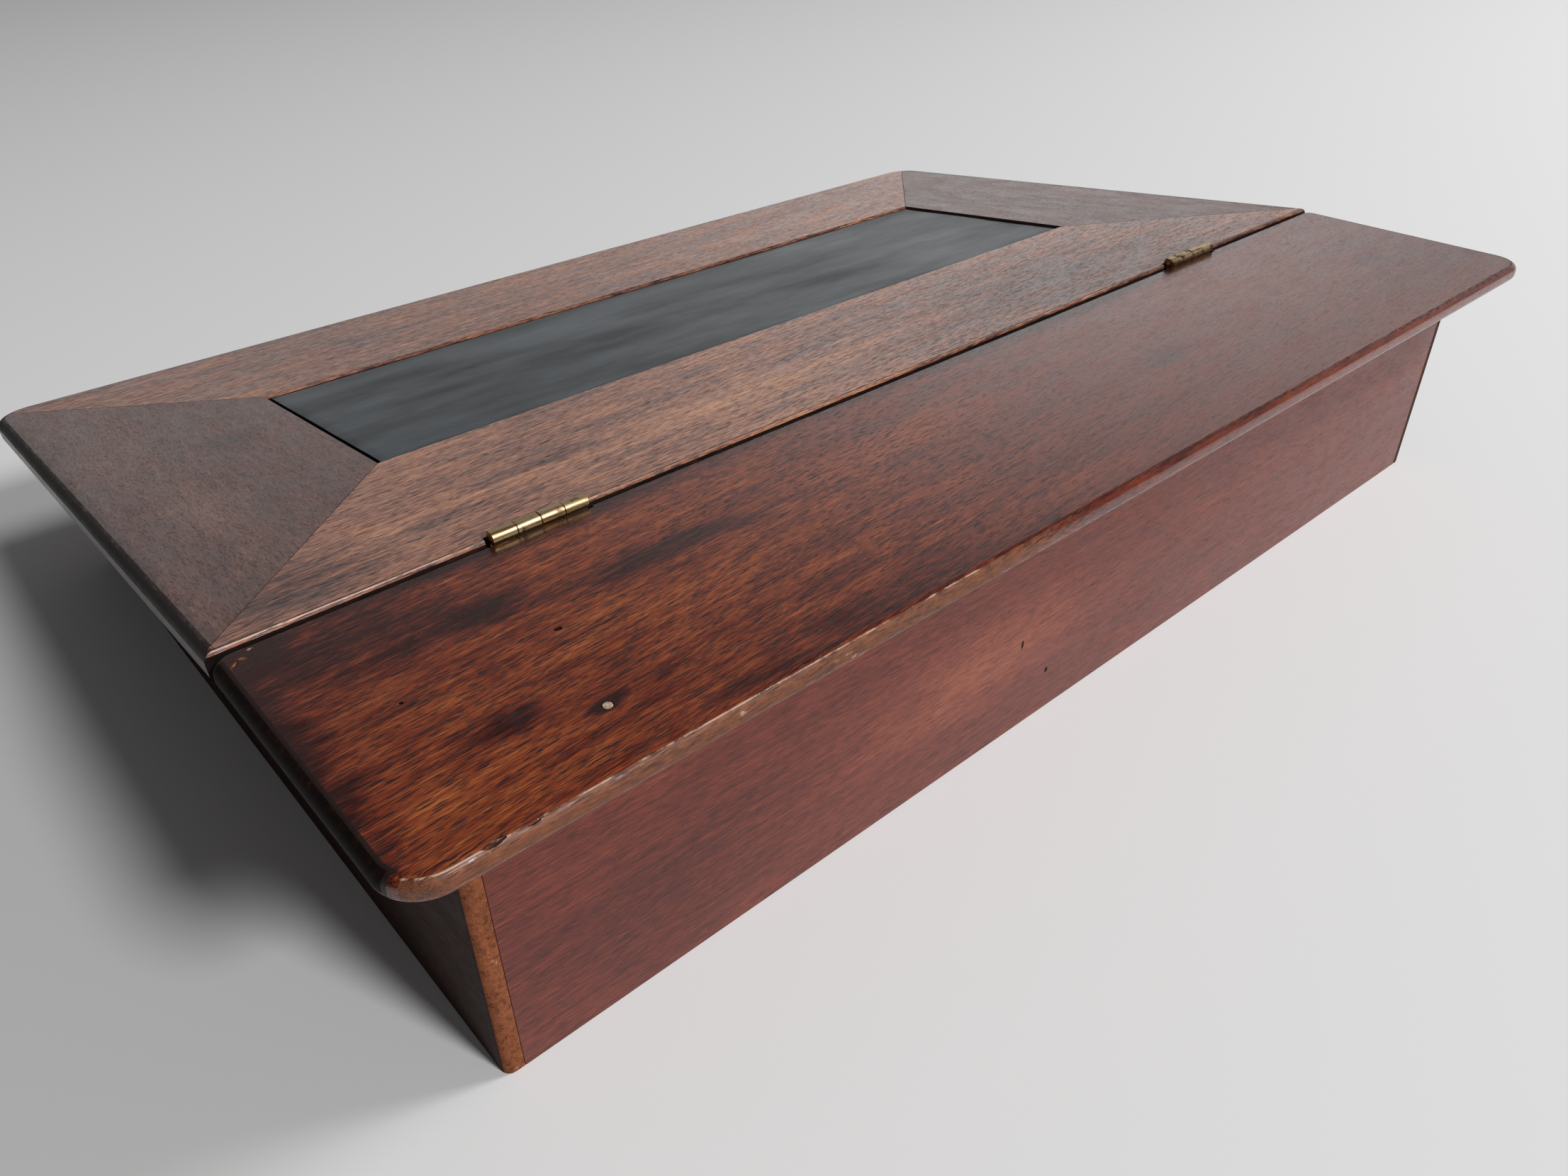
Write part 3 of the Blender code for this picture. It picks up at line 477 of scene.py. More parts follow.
def mahogany(name, turn, shift, tones, contrast, mottle, pores, raw, roughness, ior, polish=0.0, dust=0.0,
             patches=(), calm=None):
    """Mahogany: slow bands of red and plum brown along the grain, hair-fine fibre lines, and short open
    pores that hold dark dirt. Rubbed edges show tan and then pale, handled ones go nearly black, and both
    lose their polish; on some edges the same levels paint shade and highlights. Tones go from the darkest
    streak to the lightest band, and raw from the dark to the light of rubbed wood. Dust is a pale bloom,
    seen at a low angle. Patches are stained places, lighter places and painted shade. Calm evens the tone
    out along x, from one place to another, to one level."""
    material, tree, shader, place = new_material(name)
    lie = add(tree, "Mapping", {"Vector": place, "Rotation": (0, 0, turn), "Location": (shift, shift, 0)})
    slow = add(tree, "Mapping", {"Vector": lie, "Scale": per(*SWAY_SIZE)})
    sway = add(tree, "TexNoise", {"Vector": slow, "Scale": 1.0, "Detail": 1.0})
    grain = add(tree, "VectorMath", {0: sway.outputs["Color"], 1: (0, SWAY, SWAY), 2: lie},
                operation="MULTIPLY_ADD")

    layers = {}
    shares = {kind: contrast * share for kind, (_, _, share) in GRAIN.items()}
    shares["blotch"] *= mottle
    tone = 0.5 - sum(shares.values()) / 2
    for kind, (length, width, _) in GRAIN.items():
        drawn = add(tree, "Mapping", {"Vector": grain, "Scale": per(length, width)})
        layers[kind] = add(tree, "TexNoise", {"Vector": drawn, "Scale": 1.0, "Detail": 3.0, "Roughness": 0.6})
        tone = add(tree, "Math", {0: layers[kind], 1: shares[kind], 2: tone}, operation="MULTIPLY_ADD")
    blots = add(tree, "Mapping", {"Vector": place, "Scale": per(*RAGGED_SIZE)})
    fray = add(tree, "TexNoise", {"Vector": blots, "Scale": 1.0, "Detail": 3.0, "Roughness": 0.6})
    wander = RAGGED.yxz if turn > 1 else RAGGED
    frayed = add(tree, "VectorMath", {0: fray.outputs["Color"], 1: wander, 2: place},
                 operation="MULTIPLY_ADD")
    for centre, size, change in patches:
        middle = centre + wander / 2
        spot = add(tree, "Mapping", {"Vector": frayed, "Location": [-c / s for c, s in zip(middle, size)],
                                     "Scale": [1 / s for s in size]})
        mask = add(tree, "TexGradient", {"Vector": spot}, gradient_type="SPHERICAL")
        soft = add(tree, "MapRange", {"Value": mask.outputs["Fac"], "To Max": change},
                   interpolation_type="SMOOTHSTEP")
        tone = add(tree, "Math", {0: tone, 1: soft}, operation="ADD")
    if calm:
        start, end, level = calm
        along = add(tree, "SeparateXYZ", {"Vector": frayed}).outputs["X"]
        even = add(tree, "MapRange", {"Value": along, "From Min": start, "From Max": end, "To Max": 0.6},
                   interpolation_type="SMOOTHSTEP")
        tone = add(tree, "Mix", {"Factor": even, "A": tone, "B": level}, data_type="FLOAT")
    stops = [(0.2 + 0.6 * i / (len(tones) - 1), colour(code)) for i, code in enumerate(tones)]
    figure = add(tree, "ValToRGB", {"Fac": tone}, stops=stops)

    pits = open_pores(tree, grain)
    dirt = add(tree, "MapRange", {"Value": layers["streak"], "From Min": 0.35, "From Max": 0.65,
                                  "To Min": pores, "To Max": 0.65 * pores})
    depth = add(tree, "Math", {0: pits, 1: dirt}, operation="MULTIPLY")
    if calm:
        filled = add(tree, "MapRange", {"Value": even, "From Min": 0.3, "From Max": 0.6, "To Min": 1.0,
                                        "To Max": 0.45})
        depth = add(tree, "Math", {0: depth, 1: filled}, operation="MULTIPLY")
    look = add(tree, "Mix", {"Factor": depth, "A": figure, "B": colour(PORE_DIRT)}, data_type="RGBA")
    look, dull = rub_through(tree, look, lie, layers, raw)

    gloss = add(tree, "MapRange", {"Value": layers["blotch"], "From Min": 0.3, "From Max": 0.7,
                                   "To Min": roughness - 0.05, "To Max": roughness + 0.07})
    gloss = add(tree, "Math", {0: depth, 1: 0.25, 2: gloss}, operation="MULTIPLY_ADD")
    gloss = add(tree, "Math", {0: dull, 1: 0.35, 2: gloss}, operation="MULTIPLY_ADD")
    raised = add(tree, "Math", {0: layers["fibre"], 1: 0.3}, operation="MULTIPLY")
    raised = add(tree, "Math", {0: pits, 1: -0.35, 2: raised}, operation="MULTIPLY_ADD")
    bump = add(tree, "Bump", {"Height": raised, "Strength": 0.6, "Distance": 0.06 * MM})
    feed(tree, shader, {"Base Color": look.outputs["Result"], "Roughness": gloss, "Normal": bump, "IOR": ior,
                        "Sheen Weight": dust, "Sheen Roughness": 0.4})
    if polish:
        whole = add(tree, "MapRange", {"Value": dull, "To Min": polish, "To Max": 0.0})
        feed(tree, shader, {"Coat Weight": whole, "Coat Roughness": 0.16})
    return material


def grimy_shaded_wood():
    """Nearly black wood: dirt and wax in dents, and painted shade in the hinge joints, the housings of the
    hinges, the ledge's ends and the panel's top: brown black and matt, with a little red showing.
    """
    material, tree, shader, place = new_material("grimy mahogany, painted shade")
    clots = add(tree, "Mapping", {"Vector": place, "Scale": per(6 * MM, 1.2 * MM)})
    crust = add(tree, "TexNoise", {"Vector": clots, "Scale": 1.0, "Detail": 4.0, "Roughness": 0.65})
    shade = add(tree, "ValToRGB", {"Fac": crust},
                stops=[(0.40, colour("0A0403")), (0.60, colour("190A06")), (0.78, colour("3A190E"))])
    bump = add(tree, "Bump", {"Height": crust, "Strength": 0.4, "Distance": 0.1 * MM})
    feed(tree, shader, {"Base Color": shade, "Normal": bump, "Roughness": 0.7, "IOR": 1.25})
    return material


def black_leather():
    """Sheepskin, dyed black and pasted down: a fine pebbled grain, rubbed to a grey sheen on the high places,
    with soft creases and one dark nick. The pebbles are drawn about twice as large as they are, so that they
    show."""
    material, tree, shader, place = new_material("black sheepskin leather")
    fine = add(tree, "Mapping", {"Vector": place, "Scale": per(0.9 * MM, 0.9 * MM)})
    pebble = add(tree, "TexVoronoi", {"Vector": fine, "Scale": 1.0}, feature="SMOOTH_F1")
    worn_in = add(tree, "Mapping", {"Vector": place, "Scale": per(60 * MM, 18 * MM)})
    cloud = add(tree, "TexNoise", {"Vector": worn_in, "Scale": 1.0, "Detail": 5.0, "Roughness": 0.6})
    shade = add(tree, "ValToRGB", {"Fac": cloud},
                stops=[(0.35, colour("23272A")), (0.68, colour("444B50"))])
    size = LEATHER_NICK_SIZE
    spot = add(tree, "Mapping", {"Vector": place, "Scale": [1 / s for s in size],
                                 "Location": [-c / s for c, s in zip(LID @ LEATHER_NICK, size)]})
    tear = add(tree, "TexGradient", {"Vector": spot}, gradient_type="SPHERICAL")
    torn = add(tree, "MapRange", {"Value": tear.outputs["Fac"], "From Min": 0.1, "From Max": 0.35})
    shade = add(tree, "Mix", {"Factor": torn, "A": shade, "B": colour("0B0B0B")}, data_type="RGBA")
    gloss = add(tree, "MapRange", {"Value": cloud, "From Min": 0.3, "From Max": 0.7, "To Min": 0.48,
                                   "To Max": 0.37})
    folds = add(tree, "Mapping", {"Vector": place, "Rotation": (0, 0, 0.35), "Scale": per(38 * MM, 6 * MM)})
    crease = add(tree, "TexNoise", {"Vector": folds, "Scale": 1.0, "Detail": 2.0},
                 noise_type="RIDGED_MULTIFRACTAL")
    bump = add(tree, "Bump", {"Height": pebble.outputs["Distance"], "Strength": 0.25, "Distance": 0.1 * MM})
    soft = add(tree, "Bump", {"Height": crease, "Strength": 0.5, "Distance": 0.12 * MM, "Normal": bump})
    feed(tree, shader, {"Base Color": shade.outputs["Result"], "Roughness": gloss, "Normal": soft,
                        "IOR": 1.4})
    return material


def drawn_brass(name, tarnished):
    """Brass drawn through a die and polished by use: streaks along the hinge, with brown tarnish in spots.
    The streaks are drawn coarser than they are, so that they show."""
    material, tree, shader, place = new_material(name)
    lines = add(tree, "Mapping", {"Vector": place, "Scale": per(12 * MM, 0.35 * MM)})
    streaks = add(tree, "TexNoise", {"Vector": lines, "Scale": 1.0, "Detail": 3.0})
    spots = add(tree, "Mapping", {"Vector": place, "Scale": per(2.2 * MM, 2.2 * MM)})
    stain = add(tree, "TexNoise", {"Vector": spots, "Scale": 1.0, "Detail": 4.0, "Roughness": 0.65})
    brown = add(tree, "MapRange", {"Value": stain, "From Min": 0.68 - tarnished,
                                   "From Max": 0.86 - tarnished}, interpolation_type="SMOOTHSTEP")
    bright = add(tree, "ValToRGB", {"Fac": streaks},
                 stops=[(0.3, colour("BC9462")), (0.7, colour("EAD2A8"))])
    dull = add(tree, "Mix", {"Factor": brown, "A": bright, "B": colour("5C432C")}, data_type="RGBA")
    gloss = add(tree, "MapRange", {"Value": streaks, "From Min": 0.3, "From Max": 0.7, "To Min": 0.30,
                                   "To Max": 0.46})
    gloss = add(tree, "Math", {0: brown, 1: 0.2, 2: gloss}, operation="MULTIPLY_ADD")
    bump = add(tree, "Bump", {"Height": streaks, "Strength": 0.3, "Distance": 0.05 * MM})
    feed(tree, shader, {"Base Color": dull.outputs["Result"], "Roughness": gloss, "Normal": bump,
                        "Metallic": 1.0})
    return material


def dull_iron():
    """Wrought iron of the lock's case and of the brad: dark grey with brown bloom."""
    material, tree, shader, place = new_material("wrought iron")
    grit = add(tree, "Mapping", {"Vector": place, "Scale": per(1.8 * MM, 1.8 * MM)})
    bloom = add(tree, "TexNoise", {"Vector": grit, "Scale": 1.0, "Detail": 5.0, "Roughness": 0.65})
    shade = add(tree, "ValToRGB", {"Fac": bloom},
                stops=[(0.35, colour("5C5854")), (0.55, colour("6E665E")), (0.75, colour("5A3F2E"))])
    gloss = add(tree, "MapRange", {"Value": bloom, "To Min": 0.35, "To Max": 0.65})
    bump = add(tree, "Bump", {"Height": bloom, "Strength": 0.4, "Distance": 0.05 * MM})
    feed(tree, shader, {"Base Color": shade, "Roughness": gloss, "Normal": bump, "Metallic": 1.0})
    return material


def wood_filler():
    """Old stopping of whiting and glue: pale, chalky and a little grubby."""
    material, tree, shader, place = new_material("whiting filler")
    grit = add(tree, "Mapping", {"Vector": place, "Scale": per(0.6 * MM, 0.6 * MM)})
    chalk = add(tree, "TexNoise", {"Vector": grit, "Scale": 1.0, "Detail": 4.0})
    shade = add(tree, "ValToRGB", {"Fac": chalk},
                stops=[(0.3, colour("7E6A56")), (0.6, colour("BBA68E"))])
    bump = add(tree, "Bump", {"Height": chalk, "Strength": 0.5, "Distance": 0.1 * MM})
    feed(tree, shader, {"Base Color": shade, "Normal": bump, "Roughness": 0.8})
    return material


def stains_and_shade(*rows):
    """Stains, light places and painted shade, from rows in millimetres: middle, reach and change of tone."""
    return [(Vector(middle) * MM, Vector(reach) * MM, change) for middle, reach, change in rows]


LEDGE_TOP = top_high.z / MM
LEDGE_PATCHES = stains_and_shade(
    ((186, 122, LEDGE_TOP), (70, 36, 50), -0.03),
    ((184, 129, LEDGE_TOP), (35, 12, 20), 0.08),
    ((186, 79, LEDGE_TOP), (40, 16, 20), -0.28),
    ((156, 87, LEDGE_TOP), (22, 7, 20), -0.34),
    ((116, 92, LEDGE_TOP), (40, 7, 20), -0.32),
    ((100, 136, LEDGE_TOP), (62, 10, 20), -0.12),
    ((169, 119, LEDGE_TOP), (12, 5, 20), -0.30),
    ((154.5, 126.8, LEDGE_TOP), (6, 3, 20), -0.60),
    ((206, 105, LEDGE_TOP), (14, 60, 20), -0.50),
    ((40, 91, LEDGE_TOP), (60, 12, 20), 0.12),
    ((-49, 107, LEDGE_TOP), (16, 6, 20), -0.30),
    ((-167, 107, LEDGE_TOP), (14, 6, 20), -0.30),
    ((-190, 105, LEDGE_TOP), (70, 90, 50), -0.14),
    ((80, 108, LEDGE_TOP), (50, 20, 20), 0.03),
    ((126, 110, LEDGE_TOP), (34, 16, 20), 0.08),
    ((75, 140.5, LEDGE_TOP), (150, 8, 20), -0.14),
    # Painted shade: the last three rows darken the top along the hinge joint and at its right corner
    ((199, 70.5, LEDGE_TOP), (14, 9, 20), -0.90),
    ((140, 66, LEDGE_TOP), (120, 8, 20), -0.45),
    ((-60, 66, LEDGE_TOP), (170, 7, 20), -0.70),
)
RAIL_PATCHES = stains_and_shade(
    ((-90, 45, 74), (150, 60, 50), -0.24),
    ((120, -125, 54), (140, 60, 50), -0.10),
    ((50, 45, 74), (80, 60, 50), 0.08),
    ((182, 51, 75), (30, 18, 20), -0.22),
    ((154, 48, 74.5), (22, 14, 20), 0.14),
    ((145, 45, 74), (20, 6, 20), -0.25),
    ((112, 36, 72), (30, 6, 20), -0.22),
)
STILE_PATCHES = stains_and_shade(
    # Painted shade: the first two rows darken the outer edges of the stiles
    ((204.5, -45, 63), (7.5, 300, 100), -0.75),
    ((-204.5, -45, 63), (7.5, 300, 100), -0.75),
    ((180, -6, 68), (16, 34, 20), 0.16),
    ((160, -52, 63), (12, 10, 20), -0.20),
    ((188, -60, 62), (20, 34, 20), 0.05),
)
BACK_PATCHES = stains_and_shade(
    ((50, 128, 30), (70, 30, 24), 0.20),
    ((150, 128, 20), (60, 30, 30), -0.10),
)

# French polish, deep and clear at the right end, and filled and evened out further along
ledge_wood = mahogany(
    "French-polished mahogany", turn=-0.07, shift=0.0,
    tones=("2E110E", "522118", "743420", "904A26", "A96434"), contrast=1.0, mottle=0.65, pores=1.0,
    raw=("361E12", "764426"), roughness=0.26, ior=1.5, polish=0.40,
    patches=LEDGE_PATCHES, calm=(140 * MM, -30 * MM, 0.35),
)
# Back and front: a satin finish under a bloom of dust
case_wood = mahogany(
    "satin mahogany", turn=-0.03, shift=0.7,
    tones=("32120D", "4E1D15", "672A1E", "7B3A28", "945138"), contrast=0.7, mottle=0.3, pores=0.45,
    raw=("5E4030", "7A5440"), roughness=0.34, ior=1.40, dust=0.14, patches=BACK_PATCHES,
)
# Sides: painted darker than back and front, as shade, with orange end grain at their back edge
shaded_side_wood = mahogany(
    "satin mahogany, sides, painted shade", turn=pi / 2, shift=1.4,
    tones=("190A08", "26100C", "311610", "3B1C14", "462517"), contrast=0.6, mottle=0.5, pores=0.5,
    raw=("5E3624", "94583A"), roughness=0.55, ior=1.2,
)
# Rails of the lid: polish rubbed dull by sleeves, in pale and dark streaks
rail_wood = mahogany(
    "dull mahogany, rails", turn=-0.05, shift=2.1,
    tones=("40211A", "6C4132", "915D49", "AC7556", "C48C68"), contrast=1.3, mottle=0.6, pores=0.8,
    raw=("6E584C", "8E7464"), roughness=0.30, ior=1.62, patches=RAIL_PATCHES,
)
# Stiles of the lid: duller and greyer, with their grain from back to front
stile_wood = mahogany(
    "dull mahogany, stiles", turn=pi / 2, shift=2.8,
    tones=("34211C", "482E27", "573831", "68473D", "7A584C"), contrast=1.1, mottle=0.6, pores=0.45,
    raw=("584A40", "7A6656"), roughness=0.32, ior=1.54, patches=STILE_PATCHES,
)
# Nearly black: dirt in dents, and painted shade in joints, housings and recesses
grime_and_shade = grimy_shaded_wood()
# Bottom and ground panel: left bare, paler and matt
inner_wood = mahogany(
    "bare mahogany", turn=0.0, shift=3.5,
    tones=("4E2A1E", "6A3F2B", "7E5036", "926244", "A47452"), contrast=0.7, mottle=0.5, pores=0.5,
    raw=("86603F", "A87C58"), roughness=0.65, ior=1.4,
)
leather = black_leather()
brass = drawn_brass("drawn brass", 0.12)
tarnished_brass = drawn_brass("tarnished brass", 0.22)
iron = dull_iron()
filler = wood_filler()


# Pieces


def edge_share(high, joint, corner, far_round, joint_round):
    """Shares of END_ROUND for the edges of a top board: ends, far edge, under edge and hinge joint."""
    def share(first, second):
        run = second - first
        if abs(run.z) > TINY:
            return 0.0
        if abs(first.z - high.z) > TINY:
            in_joint = max(abs(first.y - joint), abs(second.y - joint)) < TINY
            return (ARRIS if in_joint else UNDER_ROUND) / END_ROUND
        along = joint_round if abs((first.y + second.y) / 2 - joint) < corner else far_round
        return (along + (END_ROUND - along) * abs(run.y) / run.length) / END_ROUND
    return share


def round_board(name, low, high, front, corner, far_round, joint_corner, joint_round):
    """A top board, rounded at its corners and along its edges. Its side at +Y, or at -Y where front is
    negative, lies in the hinge joint."""
    board = stock(name, low, high)
    joint = high.y if front > 0 else low.y
    for radius, at_joint in ((corner, False), (joint_corner, True)):
        if not radius:
            continue
        edit(board)
        choose("EDGE", lambda edge: abs(edge.verts[0].co.z - edge.verts[1].co.z) > TINY
               and (abs(edge.verts[0].co.y - joint) < TINY) == at_joint
               and abs(abs(edge.verts[0].co.x) - high.x) < TINY)
        bpy.ops.mesh.bevel(offset=radius, segments=CORNER_STEPS, profile=0.5, affect="EDGES")
        close()
    shaped_bevel(board, END_ROUND, ROUND_STEPS, edge_share(high, joint, corner, far_round, joint_round))
    return board


def lean(normal):
    """How far a face leans from straight up, in degrees."""
    return degrees(acos(max(-1.0, min(1.0, normal.z))))


def is_flat(tilt):
    """Whether a face that leans so far belongs to the flat top or underside of a board."""
    return tilt < 3 or tilt > 172


def held(value):
    """A value held between 0 and 1."""
    return min(1.0, max(0.0, value))


def nick(obj, place, size, turn=0.0, wear=DIRT_AND_SHADE):
    """Take a small dent or chip out of a piece, its size in millimetres: dark with dirt unless wear says
    otherwise."""
    bpy.ops.object.select_all(action="DESELECT")
    bpy.ops.mesh.primitive_ico_sphere_add(subdivisions=3, radius=1)
    tool = bpy.context.object
    for vert in tool.data.vertices:  # no two alike, by their places
        vert.co *= 1 + NICK_RAGGED * noise.noise(vert.co * NICK_LUMPS + Vector(place) * 900)
    shape = Matrix.Rotation(turn, 4, "Z") @ Matrix.Diagonal((*(s * MM for s in size), 1))
    tool.data.transform(Matrix.Translation(place) @ shape)
    rub(tool, lambda normal, centre: wear)
    cut(obj, tool)


def ledge_wear_and_light(normal, centre):
    """Wear on the ledge, with light and shade painted in: along the handled half of its back edge a pale
    line, partly a painted highlight, over a tan face; further off a dark line of painted shade over a
    polished round; ends dark with dirt and painted shade, pale along their lower edge with wear and a painted
    highlight; dirt and painted shade in the hinge joint."""
    tilt = lean(normal)
    if is_flat(tilt):
        return 0.0
    heading = normal.y / hypot(normal.x, normal.y)
    if heading < -0.4:  # in the hinge joint: dirt and painted shade
        return -0.5 if tilt < 50 else DIRT_AND_SHADE
    rubbed, kept = next(wear for reach, *wear in LEDGE_EDGE_WEAR_AND_LIGHT if tilt < reach)
    back = kept + (rubbed - kept) * held((centre.x - HANDLED_FROM) / HANDLED_FADE)
    end = BARE if 96 < tilt < 112 else -0.9 if tilt < 20 else DIRT_AND_SHADE  # dark with dirt and painted shade, and pale along its lower edge with wear and a painted highlight
    return end + (back - end) * held((heading - 0.35) / 0.3)


def build_ledge():
    """The fixed ledge, with the housings of the hinges, the hole of the brad, and dents of long use."""
    ledge = round_board("ledge_board", top_low, top_high, -1, LEDGE_CORNER, BACK_ROUND, LEDGE_JOINT_CORNER,
                        LEDGE_JOINT_ROUND)
    part_lengths(ledge, WEAR_LENGTH)
    rub(ledge, ledge_wear_and_light)
    for side in ("right", "left"):
        cut_housing(ledge, side, 1)
    plug_low, plug_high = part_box("ledge_brad_plug")
    middle = (plug_low + plug_high) / 2
    radius = (plug_high.x - plug_low.x) / 2 + JOINT_GAP / 2
    cut(ledge, rod("brad_drill", radius, (middle.x, middle.y, plug_low.z - JOINT_GAP),
                   (middle.x, middle.y, plug_high.z + OVERSHOOT), HOLE_SIDES))
    for (x, y, depth), size, turn, wear in LEDGE_NICKS:
        nick(ledge, (x * MM, y * MM, top_high.z - depth * MM), size, turn, wear)
    hand_over(ledge, "case", "ledge_wood", [ledge_wood, grime_and_shade], "top_ledge")


def cut_housing(board, side, towards):
    """Cut the housing of a hinge leaf and of half the barrel into the edge of a board."""
    low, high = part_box(f"{side}_{'ledge' if towards > 0 else 'lid'}_leaf")
    radius = high.z - hinge_axis.z
    plate = LEAF_PLAY / 2 + LEAF_THICK + JOINT_GAP
    barrel = radius + RUN_GAP
    for reach, foot, spare in ((plate, low.z - JOINT_GAP, JOINT_GAP),
                               (barrel, hinge_axis.z - barrel, MORTISE_GAP)):
        ends = sorted((hinge_axis.y - towards * MM, hinge_axis.y + towards * reach))
        housing = stock("housing", (low.x - spare, ends[0], foot),
                        (high.x + spare, ends[1], hinge_axis.z + OVERSHOOT))
        # the housing's faces are painted nearly black: painted shade round the hinge
        rub(housing, lambda normal, centre: DIRT_AND_SHADE)
        cut(board, housing)


def lid_wear_and_shade(normal, centre):
    """Wear on the lid, with shade painted in: a pale arris over the hinge joint, which deeper down is dark
    with dirt and painted shade, and a dark outer round, dirt and painted shade, above a rubbed edge. The
    arrises of the mitres hold some dirt."""
    tilt = lean(normal)
    if is_flat(tilt):
        return 0.0
    if centre.z > -MITRE_ARRIS:
        return -0.6
    if normal.y / hypot(normal.x, normal.y) > 0.5:  # in the hinge joint: a pale arris, then dirt and painted shade deeper down
        return BARE if tilt < 62 else -0.1 if centre.z > -UNSHADED_DEPTH else DIRT_AND_SHADE
    return -0.85 if tilt < 80 else 0.1 if tilt < 100 else 0.45  # from the round, dark with dirt and painted shade, to the under edge


def build_lid_frame():
    """Two rails and two stiles, sawn from one rounded board along the mitres."""
    left_low = lid_box("lid_left_stile")[0]
    right_high = lid_box("lid_right_stile")[1]
    low = Vector((left_low.x, lid_box("lid_front_rail")[0].y, left_low.z))
    high = Vector((right_high.x, 0.0, 0.0))
    width = -lid_box("lid_hinge_rail")[0].y
    board = round_board("lid_blank", low, high, 1, LID_CORNER, END_ROUND, 0.0, HINGE_ROUND)
    edges = {
        "right": (Vector((1, 0, 0)), Vector((high.x, 0, 0))),
        "left": (Vector((-1, 0, 0)), Vector((low.x, 0, 0))),
        "hinge": (Vector((0, 1, 0)), Vector((0, 0, 0))),
        "front": (Vector((0, -1, 0)), Vector((0, low.y, 0))),
    }
    members = {
        "hinge_rail": ("hinge", ("right", "left"), rail_wood),
        "front_rail": ("front", ("right", "left"), rail_wood),
        "right_stile": ("right", ("hinge", "front"), stile_wood),
        "left_stile": ("left", ("hinge", "front"), stile_wood),
    }
    panel_low, panel_high = lid_box("lid_panel")
    leather_foot = lid_box("leather_inset")[0].z
    for name, (side, ends, wood) in members.items():
        member = copy_of(board, name)
        outwards, edge = edges[side]
        saw(member, edge - outwards * width, -outwards)
        for end in ends:
            along, end_edge = edges[end]
            mitre = (along - outwards).normalized()
            saw(member, edge + end_edge - mitre * MITRE_GAP / 2, mitre)
        round_edges(member, MITRE_ARRIS, 2, lambda co: abs(co.z) < TINY)
        score(member, (0, 0, -UNSHADED_DEPTH), (0, 0, 1))
        rub(member, lid_wear_and_shade)
        cut(member, stock("panel_rebate", panel_low - Vector((JOINT_GAP, JOINT_GAP, OVERSHOOT)),
                          Vector((panel_high.x + JOINT_GAP, panel_high.y + JOINT_GAP, leather_foot))))
        member.data.transform(LID)
        if name == "hinge_rail":
            for hinge in ("right", "left"):
                cut_housing(member, hinge, -1)
        if name == "front_rail":
            cut_link_housing(member)
        hand_over(member, "lid", "lid_wood", [wood, grime_and_shade], f"lid_{name}")
    bpy.data.objects.remove(board)


def cut_link_housing(rail):
    """Let the link plate into the underside of the front rail."""
    low, high = lid_box("link_plate")
    foot = lid_box("lid_front_rail")[0].z
    room = Vector((JOINT_GAP, JOINT_GAP, 0))
    housing = stock("link_housing", Vector((low.x, low.y, foot - OVERSHOOT)) - room,
                    Vector((high.x, high.y, high.z + JOINT_GAP)) + room)
    housing.data.transform(LID)
    cut(rail, housing)


def wall_wear(normal, centre):
    """Wear on a side wall: rubbed upright corners, and end grain that shows orange, most on the right."""
    if abs(normal.x) > 0.97 or abs(normal.y) < 0.15:
        return 0.0
    if abs(normal.y) > 0.98:
        return 0.70 if centre.x > 0 else 0.2
    return 0.72


def build_case():
    """Back, front and sides, and the bare bottom; the back has two dents."""
    for node, name, wood in (
        ("back_panel", "back_board", case_wood), ("front_panel", "front_board", case_wood),
        ("right_side", "right_wall", shaded_side_wood), ("left_side", "left_wall", shaded_side_wood),
        ("bottom_board", "floor_board", inner_wood),
    ):
        board = cad_copy(node, name)
        low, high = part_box(node)
        if "wall" in name:
            outer = high.x if "right" in name else low.x
            for end in (low.y, high.y):
                round_edges(board, UPRIGHT_ROUND, UPRIGHT_STEPS,
                            lambda co: abs(co.x - outer) < TINY and abs(co.y - end) < TINY)
        if name in ("back_board", "front_board"):
            board.data.transform(Matrix.Scale(1 + 2 * JOINT_SWELL / (high.x - low.x), 4, (1, 0, 0)))
        ease(board, ARRIS)
        rub(board, wall_wear if "wall" in name else lambda normal, centre: 0.0)
        if name == "back_board":
            for (x, z), size in BACK_NICKS:
                nick(board, (x * MM, high.y, z * MM), size)
        hand_over(board, "case", "case_wood", [wood], node)


def build_panel():
    """The ground panel under the leather, bare below, its top painted dark as shade in the gap round the
    leather.
    """
    panel = cad_copy("lid_panel", "ground_panel")
    ease(panel, ARRIS)
    # the top, seen in the gap round the leather, is painted dark as shade
    rub(panel, lambda normal, centre: DIRT_AND_SHADE if normal.z > 0.9 else 0.0)
    hand_over(panel, "lid", "lid_wood", [inner_wood, grime_and_shade], "lid_panel")


